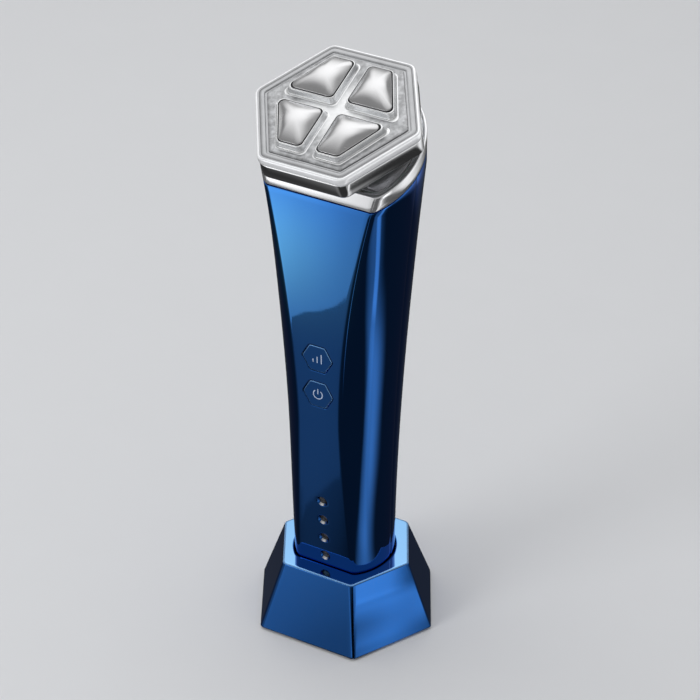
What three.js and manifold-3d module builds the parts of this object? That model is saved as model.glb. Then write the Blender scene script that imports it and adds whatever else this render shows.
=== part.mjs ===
// A handheld facial massager standing in its hexagonal charging stand.
// Millimetres, +Z up, -Y is the front with the buttons, and the origin is
// the middle of the stand's foot on the table.
import * as THREE from 'three';
import { mergeVertices } from 'three/addons/utils/BufferGeometryUtils.js';
import Module from 'manifold-3d';

const wasm = await Module();
wasm.setup();

// Fits that are used all over the part
const fitGap = 0.3;
const snugGap = 0.1;
const roundSteps = 3;
const over = 1.0;
const farOut = 120.0;

// Stand: a six-sided pyramid without its tip
const standFootWidth = 70.0;
const standFootDepth = 59.2;
const standFootFront = 38.4;
const standTopWidth = 50.8;
const standTopDepth = 42.9;
const standTopFront = 27.8;
const standTopZ = 26.5;
const standSkirtZ = 0.7;
const standWall = 2.2;
const standEdgeRound = 1.2;
const standTopChamfer = 0.6;

// Stand: what lies under the pocket
const footPadThick = 1.2;
const basePlateThick = 2.0;
const ballastThick = 2.2;
const ballastInset = 1.0;
const chargeBoardWidth = 26.0;
const chargeBoardFront = 11.0;
const chargeBoardThick = 1.0;
const standoffRadius = 2.0;
const standoffX = 9.0;
const standoffY = 7.0;
const screwHeadRadius = 2.2;
const screwHeadThick = 1.2;
const screwShankRadius = 1.1;
const screwLength = 9.0;
const bossRadius = 2.4;
const bossFromEdge = 0.7;

// Stand: the pocket that holds the handle
const pocketGap = 0.35;
const cupWall = 1.6;
const cupFloor = 1.6;

// Stand: the charging inlet at the back and the two sprung contacts
const inletWidth = 9.0;
const inletHeight = 3.2;
const inletWall = 0.35;
const inletRearGap = 1.5;
const inletRecess = 0.4;
const inletBackWall = 1.0;
const tongueWidth = 6.6;
const tongueThick = 0.7;
const tongueSetBack = 0.8;
const pogoX = 5.5;
const pogoY = 2.0;
const pogoBarrelRadius = 1.5;
const pogoPinRadius = 0.8;
const pogoTravel = 1.0;
const pogoPinBuried = 1.6;

// Handle: outer form
const handleFootZ = 11.2;
const gripLowZ = 27.0;
const gripHighZ = 185.0;
const gripFootRadius = 17.9;
const gripHeadRadius = 27.0;
const gripSwell = 1.76;
const gripStep = 10.0;
const gripFootY = -0.7;
const gripHeadY = 0.8;
const gripShiftTopZ = 140.0;
const waistZ = 90.0;
const waistHalf = 8.7;
const facetFootExtra = 2.65;
const facetFootCurve = 1.15;
const facetHeadExtra = 13.0;
const facetHeadCurve = 1.86;
const facetDeepZ = 130.0;
const facetDeep = 19.2;
const facetFootRise = 4.1;
const facetFootBow = 2.2;
const facetHeadRise = 2.3;
const facetHeadBow = 1.5;
const facetEdgeRound = 1.3;
const handleWall = 1.8;
const seamY = 0.8;
const seamGap = 0.1;
const capThick = 2.2;
const contactPadRadius = 2.4;
const contactPadThick = 1.0;
const contactPadRecess = 0.4;

// Head: the tilted frame that the collar, neck and head share
const headTilt = 20.2;
const neckPlaneZ = 185.9;
const collarHeight = 5.3;
const collarWall = 2.2;
const collarGap = 0.25;
const neckRadius = 13.5;
const neckBore = 8.5;
const neckFoot = 0.8;
const dishDepth = 1.4;
const dishThick = 3.6;
const underHeadGap = 5.3;
const headShift = 1.85;
const headCorner = 30.6;
const headCornerRound = 3.6;
const housingHeight = 6.2;
const housingFootInset = 0.9;
const housingFootRise = 0.9;
const housingTopInset = 0.4;
const housingTopFall = 0.5;
const housingWall = 2.4;
const housingFloor = 1.4;
const plateOverhang = 0.3;
const plateSide = 2.9;
const plateEdgeRound = 0.5;
const plateLip = 3.3;
const plateGroove = 0.8;
const plateGrooveDepth = 0.5;
const plateKeyDepth = 1.4;
const plateKeyWall = 1.6;
const ledBoardThick = 1.2;
const ledChipSize = 1.6;
const ledChipRise = 0.6;
const ledChipRing = 19.5;
const ledChipCount = 12;

// Head: the four electrodes
const crossHalf = 2.2;
const electrodeReach = 20.6;
const electrodeDepth = 20.0;
const electrodeTopHalf = 11.3;
const electrodeRound = 1.8;
const electrodeSeat = 0.7;
const electrodeFoot = 0.15;
const padRise = 2.5;
const padDraft = 0.3;
const padEdge = 0.4;
const padRim = 0.9;
const electrodeDome = 2.5;
const electrodeRings = 6;
const domeFullness = 2.2;
const studRadius = 1.4;
const nutRadius = 2.7;
const nutThick = 0.8;

// Front facet: two buttons and four indicator lights
const buttonWidth = 11.6;
const buttonRound = 1.0;
const levelButtonZ = 117.4;
const powerButtonZ = 102.7;
const buttonGap = 0.3;
const buttonTravel = 0.5;
const buttonFlange = 1.0;
const buttonFlangeThick = 1.0;
const buttonEdge = 0.3;
const switchSize = 6.0;
const switchThick = 3.0;
const plungerRadius = 1.6;
const plungerBuried = 0.6;
const plungerRunGap = 0.2;
const lightRadius = 1.6;
const lightTopZ = 56.0;
const lightPitch = 8.37;
const lightRecess = 0.35;
const lightFlange = 0.7;
const lightFlangeThick = 0.8;

// Inside the handle
const batteryRadius = 9.2;
const batteryLength = 65.0;
const batteryFootZ = 24.0;
const batteryNubRadius = 3.2;
const batteryNubRise = 1.0;
const cradleDepth = 3.2;
const spineThick = 2.2;
const spineWidth = 22.0;
const spineFootZ = 20.0;
const spineTopZ = 160.0;
const ribThick = 2.2;
const ribFirstZ = 34.0;
const ribSecondZ = 76.0;
const mainBoardWidth = 17.0;
const mainBoardThick = 1.6;
const mainBoardFootZ = 22.0;
const mainBoardAboveKey = 10.6;
const chipSize = 8.0;
const chipThick = 1.2;
const chipMiddleZ = 76.0;
const plugWidth = 8.0;
const plugThick = 1.0;
const plugHeight = 4.0;
const solderSunk = 0.3;
const motorRadius = 6.0;
const motorLength = 22.0;
const motorFootZ = 136.0;
const motorY = 4.0;
const motorShaftRadius = 1.0;
const motorShaftLength = 9.5;
const bootThick = 1.8;
const bootLength = 16.0;
const clampInset = 2.0;
const weightRadius = 7.0;
const weightLength = 6.0;
const weightRise = 1.6;
const weightHubWall = 1.5;
const weightRunGap = 0.15;
const ribbonWidth = 6.0;
const ribbonThick = 0.5;
const ribbonBend = 2.0;

// Solids are made by three.js shapes and joined or cut as closed meshes
function toSolid(geometry) {
  const bare = geometry.index ? geometry.toNonIndexed() : geometry.clone();
  bare.deleteAttribute('normal');
  bare.deleteAttribute('uv');
  const merged = mergeVertices(bare, 1e-4);
  const mesh = new wasm.Mesh({
    numProp: 3,
    vertProperties: new Float32Array(merged.attributes.position.array),
    triVerts: new Uint32Array(merged.index.array),
  });
  return new wasm.Manifold(mesh);
}

function toGeometry(solid) {
  const mesh = solid.getMesh();
  const geometry = new THREE.BufferGeometry();
  const points = new THREE.BufferAttribute(new Float32Array(mesh.vertProperties), 3);
  geometry.setAttribute('position', points);
  geometry.setIndex(new THREE.BufferAttribute(new Uint32Array(mesh.triVerts), 1));
  geometry.computeVertexNormals();
  return geometry;
}

function join(first, ...others) {
  return others.reduce((sum, solid) => sum.add(solid), first);
}

function cut(first, ...others) {
  return others.reduce((rest, solid) => rest.subtract(solid), first);
}

function block(x0, x1, y0, y1, z0, z1) {
  const geometry = new THREE.BoxGeometry(x1 - x0, y1 - y0, z1 - z0);
  geometry.translate((x0 + x1) / 2, (y0 + y1) / 2, (z0 + z1) / 2);
  return toSolid(geometry);
}

function rod(radius, x, y, z0, z1, sides = 20) {
  const geometry = new THREE.CylinderGeometry(radius, radius, z1 - z0, sides);
  geometry.rotateX(Math.PI / 2);
  geometry.translate(x, y, (z0 + z1) / 2);
  return toSolid(geometry);
}

function prism(outline, z0, z1) {
  const shape = new THREE.Shape(outline.map(([x, y]) => new THREE.Vector2(x, y)));
  const geometry = new THREE.ExtrudeGeometry(shape, { depth: z1 - z0, bevelEnabled: false });
  geometry.translate(0, 0, z0);
  return toSolid(geometry);
}

function turned(profile, sides = 40) {
  const points = profile.map(([radius, z]) => new THREE.Vector2(radius, z));
  const geometry = new THREE.LatheGeometry(points, sides);
  geometry.rotateX(Math.PI / 2);
  return toSolid(geometry);
}

// A solid through a stack of outlines that have the same number of points
function loft(rings) {
  const count = rings[0].length;
  const points = rings.flat().flat();
  const faces = [];
  for (let level = 0; level + 1 < rings.length; level += 1) {
    for (let i = 0; i < count; i += 1) {
      const low = level * count;
      const next = (i + 1) % count;
      faces.push(low + i, low + next, low + count + next);
      faces.push(low + i, low + count + next, low + count + i);
    }
  }
  const flat = (ring) => ring.map(([x, y]) => new THREE.Vector2(x, y));
  for (const [a, b, c] of THREE.ShapeUtils.triangulateShape(flat(rings[0]), [])) {
    faces.push(a, c, b);
  }
  const top = (rings.length - 1) * count;
  for (const [a, b, c] of THREE.ShapeUtils.triangulateShape(flat(rings.at(-1)), [])) {
    faces.push(top + a, top + b, top + c);
  }
  const geometry = new THREE.BufferGeometry();
  geometry.setAttribute('position', new THREE.Float32BufferAttribute(points, 3));
  geometry.setIndex(faces);
  return toSolid(geometry);
}

const atHeight = (outline, z) => outline.map(([x, y]) => [x, y, z]);

// A closed outline with each corner turned into a short arc
function rounded(corners, radius, steps = roundSteps) {
  const points = [];
  corners.forEach((corner, i) => {
    const here = new THREE.Vector2(...corner);
    const last = new THREE.Vector2(...corners.at(i - 1)).sub(here).normalize();
    const next = new THREE.Vector2(...corners[(i + 1) % corners.length]).sub(here).normalize();
    const half = Math.acos(last.dot(next)) / 2;
    const middle = last.clone().add(next).normalize();
    const centre = here.clone().addScaledVector(middle, radius / Math.sin(half));
    const start = here.clone().addScaledVector(last, radius / Math.tan(half)).sub(centre);
    const turn = Math.PI - 2 * half;
    for (let k = 0; k <= steps; k += 1) {
      const point = start.clone().rotateAround(new THREE.Vector2(), (turn * k) / steps);
      points.push([point.x + centre.x, point.y + centre.y]);
    }
  });
  return points;
}

// The outline moved inward, or outward where the distance is negative
function inset(corners, distance) {
  return corners.map((corner, i) => {
    const here = new THREE.Vector2(...corner);
    const last = new THREE.Vector2(...corners.at(i - 1)).sub(here).normalize();
    const next = new THREE.Vector2(...corners[(i + 1) % corners.length]).sub(here).normalize();
    const half = Math.acos(last.dot(next)) / 2;
    const middle = last.add(next).normalize();
    here.addScaledVector(middle, distance / Math.sin(half));
    return [here.x, here.y];
  });
}

// Stand outline, with its flat sides at the front and the back
function standCorners(z, distance) {
  const share = (z - standSkirtZ) / (standTopZ - standSkirtZ);
  const front = THREE.MathUtils.lerp(standFootFront, standTopFront, share) / 2;
  const side = THREE.MathUtils.lerp(standFootWidth, standTopWidth, share) / 2;
  const depth = THREE.MathUtils.lerp(standFootDepth, standTopDepth, share) / 2;
  const corners = [[-front, -depth], [front, -depth], [side, 0]];
  corners.push([front, depth], [-front, depth], [-side, 0]);
  return inset(corners, distance);
}

function standOutline(z, distance) {
  return atHeight(rounded(standCorners(z, distance), standEdgeRound), z);
}

// Handle outline: round at the back and sides, flat at the front
const gripShare = (z) => THREE.MathUtils.clamp((z - gripLowZ) / (gripHighZ - gripLowZ), 0, 1);

function gripRadius(z) {
  return gripFootRadius + (gripHeadRadius - gripFootRadius) * gripShare(z) ** gripSwell;
}

function gripCentre(z) {
  const share = (z - gripLowZ) / (gripShiftTopZ - gripLowZ);
  return THREE.MathUtils.lerp(gripFootY, gripHeadY, THREE.MathUtils.clamp(share, 0, 1));
}

function facetHalf(z) {
  const level = THREE.MathUtils.clamp(z, gripLowZ, gripHighZ);
  if (level < waistZ) {
    const share = (waistZ - level) / (waistZ - gripLowZ);
    return waistHalf + facetFootExtra * share ** facetFootCurve;
  }
  const share = (level - waistZ) / (gripHighZ - waistZ);
  return waistHalf + facetHeadExtra * share ** facetHeadCurve;
}

function facetDepth(z) {
  const level = THREE.MathUtils.clamp(z, gripLowZ, gripHighZ);
  if (level < facetDeepZ) {
    const share = (facetDeepZ - level) / (facetDeepZ - gripLowZ);
    return facetDeep - facetFootRise * share ** facetFootBow;
  }
  const share = (level - facetDeepZ) / (gripHighZ - facetDeepZ);
  return facetDeep - facetHeadRise * share ** facetHeadBow;
}

// The round part swells a little towards the facet's two edges
function gripOutline(z, distance, arcs = 24) {
  const centre = gripCentre(z);
  const radius = gripRadius(z) - distance;
  const depth = facetDepth(z) - distance;
  const half = facetHalf(z) - distance / 2;
  const edge = new THREE.Vector2(half, -depth - centre);
  const start = edge.angle() - 2 * Math.PI;
  const sweep = Math.PI - 2 * start;
  const side = [];
  const blend = Math.PI / 4;
  for (let i = 1; i < arcs; i += 1) {
    const angle = start + (sweep * i) / arcs;
    const away = Math.min(angle - start, start + sweep - angle);
    const pull = 1 - THREE.MathUtils.smoothstep(away, 0, blend);
    const reach = THREE.MathUtils.lerp(radius, edge.length(), pull);
    side.push([reach * Math.cos(angle), centre + reach * Math.sin(angle)]);
  }
  return [...facetEdge(half, depth, side[0], 1), ...side, ...facetEdge(half, depth, side.at(-1), -1)];
}

// One edge of the facet, rounded between the flat and the first arc point
function facetEdge(half, depth, beside, hand) {
  const corner = new THREE.Vector2(hand * half, -depth);
  const along = new THREE.Vector2(...beside).sub(corner).normalize();
  const flat = new THREE.Vector2(-hand * facetEdgeRound, 0).add(corner);
  const rise = corner.clone().addScaledVector(along, facetEdgeRound);
  const middle = flat.clone().add(rise).multiplyScalar(0.25).addScaledVector(corner, 0.5);
  const points = [flat, middle, rise].map((point) => [point.x, point.y]);
  return hand > 0 ? points : points.reverse();
}

// The handle's form as a solid between two heights. All of these solids
// turn at the same levels, so one lies evenly inside another.
function gripSolid(z0, z1, distance) {
  const levels = [z0];
  for (let z = gripLowZ; z < z1; z += gripStep) {
    if (z > z0) levels.push(z);
  }
  levels.push(z1);
  return loft(levels.map((z) => atHeight(gripOutline(z, distance), z)));
}

// The tilted frame: w is the distance along the head's axis
const headOrigin = new THREE.Vector3(0, gripCentre(gripHighZ), neckPlaneZ);
const headTurn = THREE.MathUtils.degToRad(headTilt);

function headSlab(w0, w1) {
  const geometry = new THREE.BoxGeometry(2 * farOut, 2 * farOut, w1 - w0);
  geometry.translate(0, 0, (w0 + w1) / 2);
  geometry.rotateX(headTurn);
  geometry.translate(...headOrigin);
  return toSolid(geometry);
}

function toWorld(solid) {
  const geometry = toGeometry(solid);
  geometry.rotateX(headTurn);
  geometry.translate(...headOrigin);
  return toSolid(geometry);
}

function fromHead(u, v, w) {
  const point = new THREE.Vector3(u, v, w);
  return point.applyAxisAngle(new THREE.Vector3(1, 0, 0), headTurn).add(headOrigin);
}

// Levels that the pieces share
const padTop = footPadThick;
const baseTop = padTop + basePlateThick;
const ballastLow = baseTop + fitGap;
const ballastTop = ballastLow + ballastThick;
const boardLow = ballastTop + fitGap;
const boardTop = boardLow + chargeBoardThick;
const cupFloorTop = handleFootZ - fitGap;
const cupFloorLow = cupFloorTop - cupFloor;
const roofLow = standTopZ - standWall;
const bottomZ = handleFootZ;
const ballastEdge = standWall + ballastInset;
const bossEdge = ballastEdge + bossRadius + 2 * fitGap + bossFromEdge;
const bossCorners = inset(standCorners(ballastTop, 0), bossEdge);
const bossSpots = [3, 4, 0, 1].map((i) => bossCorners[i]);
const postSpots = [[standoffX, standoffY], [-standoffX, standoffY]];
postSpots.push([-standoffX, -standoffY], [standoffX, -standoffY]);
const inletMiddle = boardTop + snugGap + inletHeight / 2;
const standFaceY = (z) => standCorners(z, 0)[3][1];
const inletMouth = standFaceY(inletMiddle) - inletRecess;
const cupBack = gripCentre(gripLowZ) + gripRadius(gripLowZ) + pocketGap + cupWall;
const inletLength = inletMouth - cupBack - inletRearGap;
const gripInside = handleWall + fitGap;

// Stand pieces
function standShell() {
  const body = loft([
    standOutline(standSkirtZ, 0),
    standOutline(standTopZ - standTopChamfer, 0),
    atHeight(rounded(standCorners(standTopZ, standTopChamfer), standEdgeRound), standTopZ),
  ]);
  const hollow = loft([
    standOutline(standSkirtZ - over, standWall),
    standOutline(roofLow, standWall),
  ]);
  const pocket = gripSolid(roofLow - over, standTopZ + over, -pocketGap);
  const bosses = bossSpots.map(([x, y]) => rod(bossRadius, x, y, ballastLow, roofLow + over));
  const within = loft([
    standOutline(standSkirtZ, standWall / 2),
    standOutline(roofLow + over, standWall / 2),
  ]);
  const posts = bosses.map((boss) => boss.intersect(within));
  const bores = bossSpots.map(([x, y]) => {
    return rod(screwShankRadius + fitGap, x, y, padTop, padTop + screwLength + fitGap, 12);
  });
  const shell = join(cut(body, hollow, pocket), ...posts);
  return cut(shell, ...bores, inletHole());
}

// A flat-ended slot shape that lies along Y, for the inlet and its cut-out
function slotSolid(width, height, y0, y1) {
  const half = height / 2 - 0.01;
  const corners = [[-width / 2, -height / 2], [width / 2, -height / 2]];
  corners.push([width / 2, height / 2], [-width / 2, height / 2]);
  const geometry = toGeometry(prism(rounded(corners, half, 4), -y1, -y0));
  geometry.rotateX(Math.PI / 2);
  geometry.translate(0, 0, inletMiddle);
  return toSolid(geometry);
}

function inletHole() {
  const wide = inletWidth + 2 * fitGap;
  const high = inletHeight + 2 * fitGap;
  return slotSolid(wide, high, inletMouth - inletLength, standFootDepth);
}

function usbSocket() {
  const back = inletMouth - inletLength;
  const body = slotSolid(inletWidth, inletHeight, back, inletMouth);
  const wide = inletWidth - 2 * inletWall;
  const high = inletHeight - 2 * inletWall;
  const hollow = slotSolid(wide, high, back + inletBackWall, inletMouth + over);
  const half = tongueWidth / 2;
  const low = inletMiddle - tongueThick / 2;
  const root = back + inletBackWall / 2;
  const tip = inletMouth - tongueSetBack;
  const tongue = block(-half, half, root, tip, low, low + tongueThick);
  return join(cut(body, hollow), tongue);
}

function stripOutline(z, distance) {
  return rounded(standCorners(z, distance), standEdgeRound);
}

function footPad() {
  return prism(stripOutline(padTop, standWall + fitGap), 0, padTop);
}

function basePlate() {
  const plate = prism(stripOutline(baseTop, standWall + fitGap), padTop, baseTop);
  const posts = postSpots.map(([x, y]) => rod(standoffRadius, x, y, baseTop - over, boardLow, 16));
  const headTop = padTop + screwHeadThick + snugGap;
  const sinks = bossSpots.map(([x, y]) => {
    const sink = rod(screwHeadRadius + fitGap, x, y, padTop - over, headTop);
    return join(sink, rod(screwShankRadius + fitGap, x, y, padTop, baseTop + over, 12));
  });
  return cut(join(plate, ...posts), ...sinks);
}

function ballastPlate() {
  const outline = stripOutline(ballastTop, ballastEdge);
  const plate = prism(outline, ballastLow, ballastTop);
  const holes = bossSpots.map(([x, y]) => {
    return rod(bossRadius + 2 * fitGap, x, y, ballastLow - over, ballastTop + over);
  });
  const passes = postSpots.map(([x, y]) => {
    return rod(standoffRadius + fitGap, x, y, ballastLow - over, ballastTop + over, 16);
  });
  return cut(plate, ...holes, ...passes);
}

function chargeBoard() {
  const half = chargeBoardWidth / 2;
  const back = inletMouth - inletLength / 3;
  const board = block(-half, half, -chargeBoardFront, back, boardLow, boardTop);
  const holes = bossSpots.map(([x, y]) => {
    return rod(bossRadius + 2 * fitGap, x, y, boardLow - over, boardTop + over);
  });
  return cut(board, ...holes);
}

function baseScrew(x, y) {
  const low = padTop + snugGap;
  const head = rod(screwHeadRadius, x, y, low, low + screwHeadThick - snugGap);
  const shank = rod(screwShankRadius, x, y, low, low + screwLength - snugGap, 12);
  return join(head, shank);
}

function standCup() {
  const outer = gripSolid(cupFloorLow, roofLow - snugGap, -pocketGap - cupWall);
  const pocket = gripSolid(cupFloorTop, standTopZ, -pocketGap);
  const radius = pogoBarrelRadius + fitGap;
  const holes = [-pogoX, pogoX].map((x) => {
    return rod(radius, x, pogoY, cupFloorLow - over, cupFloorTop + over, 16);
  });
  return cut(outer, pocket, ...holes);
}

const padFaceZ = bottomZ + fitGap + contactPadRecess;
const pinTopZ = padFaceZ - fitGap;
const pinLowZ = cupFloorTop - pogoPinBuried - snugGap;

function pogoBarrel(x) {
  const top = cupFloorTop - snugGap;
  const barrel = rod(pogoBarrelRadius, x, pogoY, boardTop + snugGap, top, 16);
  const low = pinLowZ - pogoTravel - fitGap / 2;
  return cut(barrel, rod(pogoPinRadius + fitGap / 2, x, pogoY, low, top + over, 16));
}

function pogoPin(x) {
  const tip = pinTopZ - pogoPinRadius / 2;
  const stem = rod(pogoPinRadius, x, pogoY, pinLowZ, tip, 16);
  const cone = new THREE.CylinderGeometry(pogoPinRadius / 2, pogoPinRadius, pogoPinRadius / 2, 16);
  cone.rotateX(Math.PI / 2);
  cone.translate(x, pogoY, tip + pogoPinRadius / 4);
  return join(stem, toSolid(cone));
}

// Handle shells, cut at the tilted plane under the collar
const shellTopZ = neckPlaneZ + gripHeadRadius;
const inFront = () => block(-farOut, farOut, -farOut, seamY - seamGap / 2, 0, 2 * shellTopZ);
const behind = () => block(-farOut, farOut, seamY + seamGap / 2, farOut, 0, 2 * shellTopZ);
const aboveNeck = (w) => headSlab(w, farOut);

function handleTube() {
  const outer = gripSolid(bottomZ, shellTopZ, 0);
  const inner = gripSolid(bottomZ - over, shellTopZ + over, handleWall);
  return cut(outer, inner, aboveNeck(-collarGap));
}

function hexCorners(width) {
  const half = width / 2;
  const corner = (i) => [half * Math.cos((i * Math.PI) / 3), half * Math.sin((i * Math.PI) / 3)];
  return [0, 1, 2, 3, 4, 5].map(corner);
}

// A six-sided column along Y, with points at its left and right
function keyColumn(width, z, y0, y1) {
  const geometry = toGeometry(prism(rounded(hexCorners(width), buttonRound), -y1, -y0));
  geometry.rotateX(Math.PI / 2);
  geometry.translate(0, 0, z);
  return toSolid(geometry);
}

function rodAlongY(radius, z, y0, y1, sides = 16) {
  const geometry = new THREE.CylinderGeometry(radius, radius, y1 - y0, sides);
  geometry.translate(0, (y0 + y1) / 2, z);
  return toSolid(geometry);
}

const lightSpots = [0, 1, 2, 3].map((i) => lightTopZ - i * lightPitch);
const holeBack = (z) => -facetDepth(z) + handleWall + over;

function frontShell() {
  const keys = [levelButtonZ, powerButtonZ].map((z) => {
    return keyColumn(buttonWidth + 2 * buttonGap, z, -farOut, holeBack(z));
  });
  const holes = lightSpots.map((z) => {
    return rodAlongY(lightRadius + snugGap, z, -farOut, holeBack(z));
  });
  return cut(handleTube().intersect(inFront()), ...keys, ...holes);
}

function rearShell() {
  return handleTube().intersect(behind());
}

function bottomCap() {
  const low = bottomZ + fitGap;
  const plate = gripSolid(low, low + capThick, gripInside);
  const recess = contactPadRecess + contactPadThick + snugGap;
  const sinks = [-pogoX, pogoX].map((x) => {
    return rod(contactPadRadius + fitGap, x, pogoY, low - over, low + recess);
  });
  return cut(plate, ...sinks);
}

function contactPad(x) {
  return rod(contactPadRadius, x, pogoY, padFaceZ, padFaceZ + contactPadThick);
}

// Collar and neck, both on the tilted plane
const neckLowZ = neckPlaneZ - gripHeadRadius;

function collar() {
  const outer = gripSolid(neckLowZ, shellTopZ, 0);
  const inner = gripSolid(neckLowZ - over, shellTopZ + over, collarWall);
  return cut(outer, inner).intersect(headSlab(0, collarHeight));
}

const headLow = collarHeight + underHeadGap;
const dishTop = collarHeight - dishDepth / 2;
const dishLow = dishTop - dishThick;

function neckDish() {
  const rim = gripHeadRadius + collarWall;
  const slope = (rim + neckRadius) / 2;
  const profile = [[neckBore, dishLow], [rim, dishLow], [rim, dishTop]];
  profile.push([slope + dishDepth, dishTop - dishDepth / 3], [slope - dishDepth, dishTop - dishDepth]);
  profile.push([neckRadius + neckFoot, dishTop - dishDepth / 2], [neckRadius, dishTop + neckFoot]);
  profile.push([neckRadius, headLow - fitGap], [neckBore, headLow - fitGap]);
  profile.push([neckBore, dishLow]);
  const inside = gripSolid(neckLowZ, shellTopZ, collarWall + fitGap);
  return toWorld(turned(profile)).intersect(join(inside, aboveNeck(dishTop + neckFoot / 2)));
}

// Head pieces, drawn about the head's axis in the tilted frame
const headOutline = (corner, distance) => {
  const corners = inset(hexCorners(2 * corner), distance);
  return rounded(corners, Math.max(headCornerRound - distance, 0.5), 4);
};
const headRing = (corner, distance, w) => atHeight(headOutline(corner, distance), w);
const housingTop = headLow + housingHeight;
const housingIn = housingWall + housingTopInset;
const housingDeck = headLow + housingFloor;
const plateLow = housingTop + fitGap;
const plateTop = plateLow + plateSide;
const plateCorner = headCorner + plateOverhang;
const nutLow = housingDeck + fitGap;
const ledBoardLow = nutLow + nutThick + fitGap;
const ledBoardTop = ledBoardLow + ledBoardThick;
const raisedTop = plateTop + padRise;
const seatZ = raisedTop - electrodeSeat;
const electrodeLow = seatZ + fitGap;

// Where each electrode's stud goes down, one in each quarter
const studU = (crossHalf + (electrodeReach + electrodeTopHalf) / 2) / 2;
const studV = (crossHalf + electrodeDepth) / 2;
const quarters = [['back_right', 1, 1], ['back_left', -1, 1]];
quarters.push(['front_left', -1, -1], ['front_right', 1, -1]);

function studHoles(radius, w0, w1) {
  return quarters.map(([, su, sv]) => rod(radius, su * studU, sv * studV, w0, w1, 16));
}

function headHousing() {
  const body = loft([
    headRing(headCorner, housingFootInset, headLow),
    headRing(headCorner, housingFootInset / 4, headLow + housingFootRise * 0.6),
    headRing(headCorner, 0, headLow + housingFootRise),
    headRing(headCorner, 0, housingTop - housingTopFall),
    headRing(headCorner, housingTopInset, housingTop),
  ]);
  const hollow = prism(headOutline(headCorner, housingIn), housingDeck, housingTop + over);
  const wires = rod(neckBore, 0, -headShift, headLow - over, housingDeck + over);
  return cut(body, hollow, wires);
}

function lightPlate() {
  const body = loft([
    headRing(plateCorner, plateEdgeRound, plateLow),
    headRing(plateCorner, 0, plateLow + plateEdgeRound),
    headRing(plateCorner, 0, plateTop - plateEdgeRound),
    headRing(plateCorner, plateEdgeRound, plateTop),
  ]);
  const grooveLow = plateTop - plateGrooveDepth;
  const grooveOut = prism(headOutline(plateCorner, plateLip), grooveLow, plateTop + over);
  const grooveIn = headOutline(plateCorner, plateLip + plateGroove);
  const groove = cut(grooveOut, prism(grooveIn, grooveLow - over, plateTop + 2 * over));
  const pads = quarters.map(([, su, sv]) => raisedPad(su, sv));
  const seats = quarters.map(([, su, sv]) => {
    return prism(electrodeOutline(su, sv, padRim - fitGap), seatZ, raisedTop + over);
  });
  const keyOut = headOutline(headCorner, housingIn + fitGap);
  const keyIn = headOutline(headCorner, housingIn + fitGap + plateKeyWall);
  const keyLow = plateLow - plateKeyDepth;
  const keyRing = prism(keyOut, keyLow, plateLow + plateEdgeRound);
  const key = cut(keyRing, prism(keyIn, keyLow - over, plateLow + over));
  const holes = studHoles(studRadius + fitGap, keyLow, raisedTop);
  return cut(join(body, key, ...pads), groove, ...seats, ...holes);
}

function ledBoard() {
  const outline = headOutline(headCorner, housingIn + fitGap);
  const board = prism(outline, ledBoardLow, ledBoardTop);
  const half = ledChipSize / 2;
  const chips = [];
  for (let i = 0; i < ledChipCount; i += 1) {
    const angle = ((i + 0.5) * 2 * Math.PI) / ledChipCount;
    const u = ledChipRing * Math.cos(angle);
    const v = ledChipRing * Math.sin(angle);
    const top = ledBoardTop + ledChipRise;
    chips.push(block(u - half, u + half, v - half, v + half, ledBoardTop - ledChipRise, top));
  }
  const holes = studHoles(studRadius + fitGap, ledBoardLow - over, ledBoardTop + 2 * over);
  return cut(join(board, ...chips), ...holes);
}

// A quarter of the head's hexagon, taken in at the cross between the four
function electrodeCorners(su, sv) {
  const corners = [[crossHalf, crossHalf], [electrodeReach, crossHalf]];
  corners.push([electrodeTopHalf, electrodeDepth], [crossHalf, electrodeDepth]);
  const placed = corners.map(([u, v]) => [su * u, sv * v]);
  return su * sv > 0 ? placed : placed.reverse();
}

const electrodeOutline = (su, sv, distance) => {
  return rounded(inset(electrodeCorners(su, sv), distance), electrodeRound);
};

// The plate stands up in a pad round each electrode, a little wider at its foot
function raisedPad(su, sv) {
  return loft([
    atHeight(electrodeOutline(su, sv, -padDraft), plateTop - over),
    atHeight(electrodeOutline(su, sv, 0), raisedTop - padEdge),
    atHeight(electrodeOutline(su, sv, padEdge), raisedTop),
  ]);
}

function electrode(su, sv) {
  const foot = electrodeOutline(su, sv, padRim);
  const footTop = raisedTop + electrodeFoot;
  const rings = [atHeight(foot, electrodeLow)];
  for (let i = 0; i < electrodeRings; i += 1) {
    const angle = (i * Math.PI) / (2 * electrodeRings);
    const share = Math.cos(angle);
    const w = footTop + electrodeDome * (1 - share ** domeFullness);
    const ring = foot.map(([u, v]) => {
      return [su * studU + (u - su * studU) * share, sv * studV + (v - sv * studV) * share, w];
    });
    rings.push(ring);
  }
  const stud = rod(studRadius, su * studU, sv * studV, nutLow, electrodeLow + electrodeSeat / 2, 16);
  return join(loft(rings), stud);
}

function electrodeNut(su, sv) {
  const u = su * studU;
  const v = sv * studV;
  const nut = rod(nutRadius, u, v, nutLow, nutLow + nutThick, 6);
  return cut(nut, rod(studRadius + fitGap, u, v, nutLow - over, nutLow + nutThick + over, 16));
}

// Inside the handle, from the back wall to the facet
const backWallY = gripCentre(gripLowZ) + gripRadius(gripLowZ) - handleWall;
const batteryY = backWallY - fitGap - batteryRadius;
const spineBack = batteryY - batteryRadius - cradleDepth;
const spineFront = spineBack - spineThick;
const boardBack = spineFront - snugGap;
const boardFront = boardBack - mainBoardThick;
const mainBoardTopZ = levelButtonZ + mainBoardAboveKey;
const bootRadius = motorRadius + snugGap + bootThick;
const motorTopZ = motorFootZ + motorLength;
const bootLowZ = motorFootZ + (motorLength - bootLength) / 2;

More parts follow.
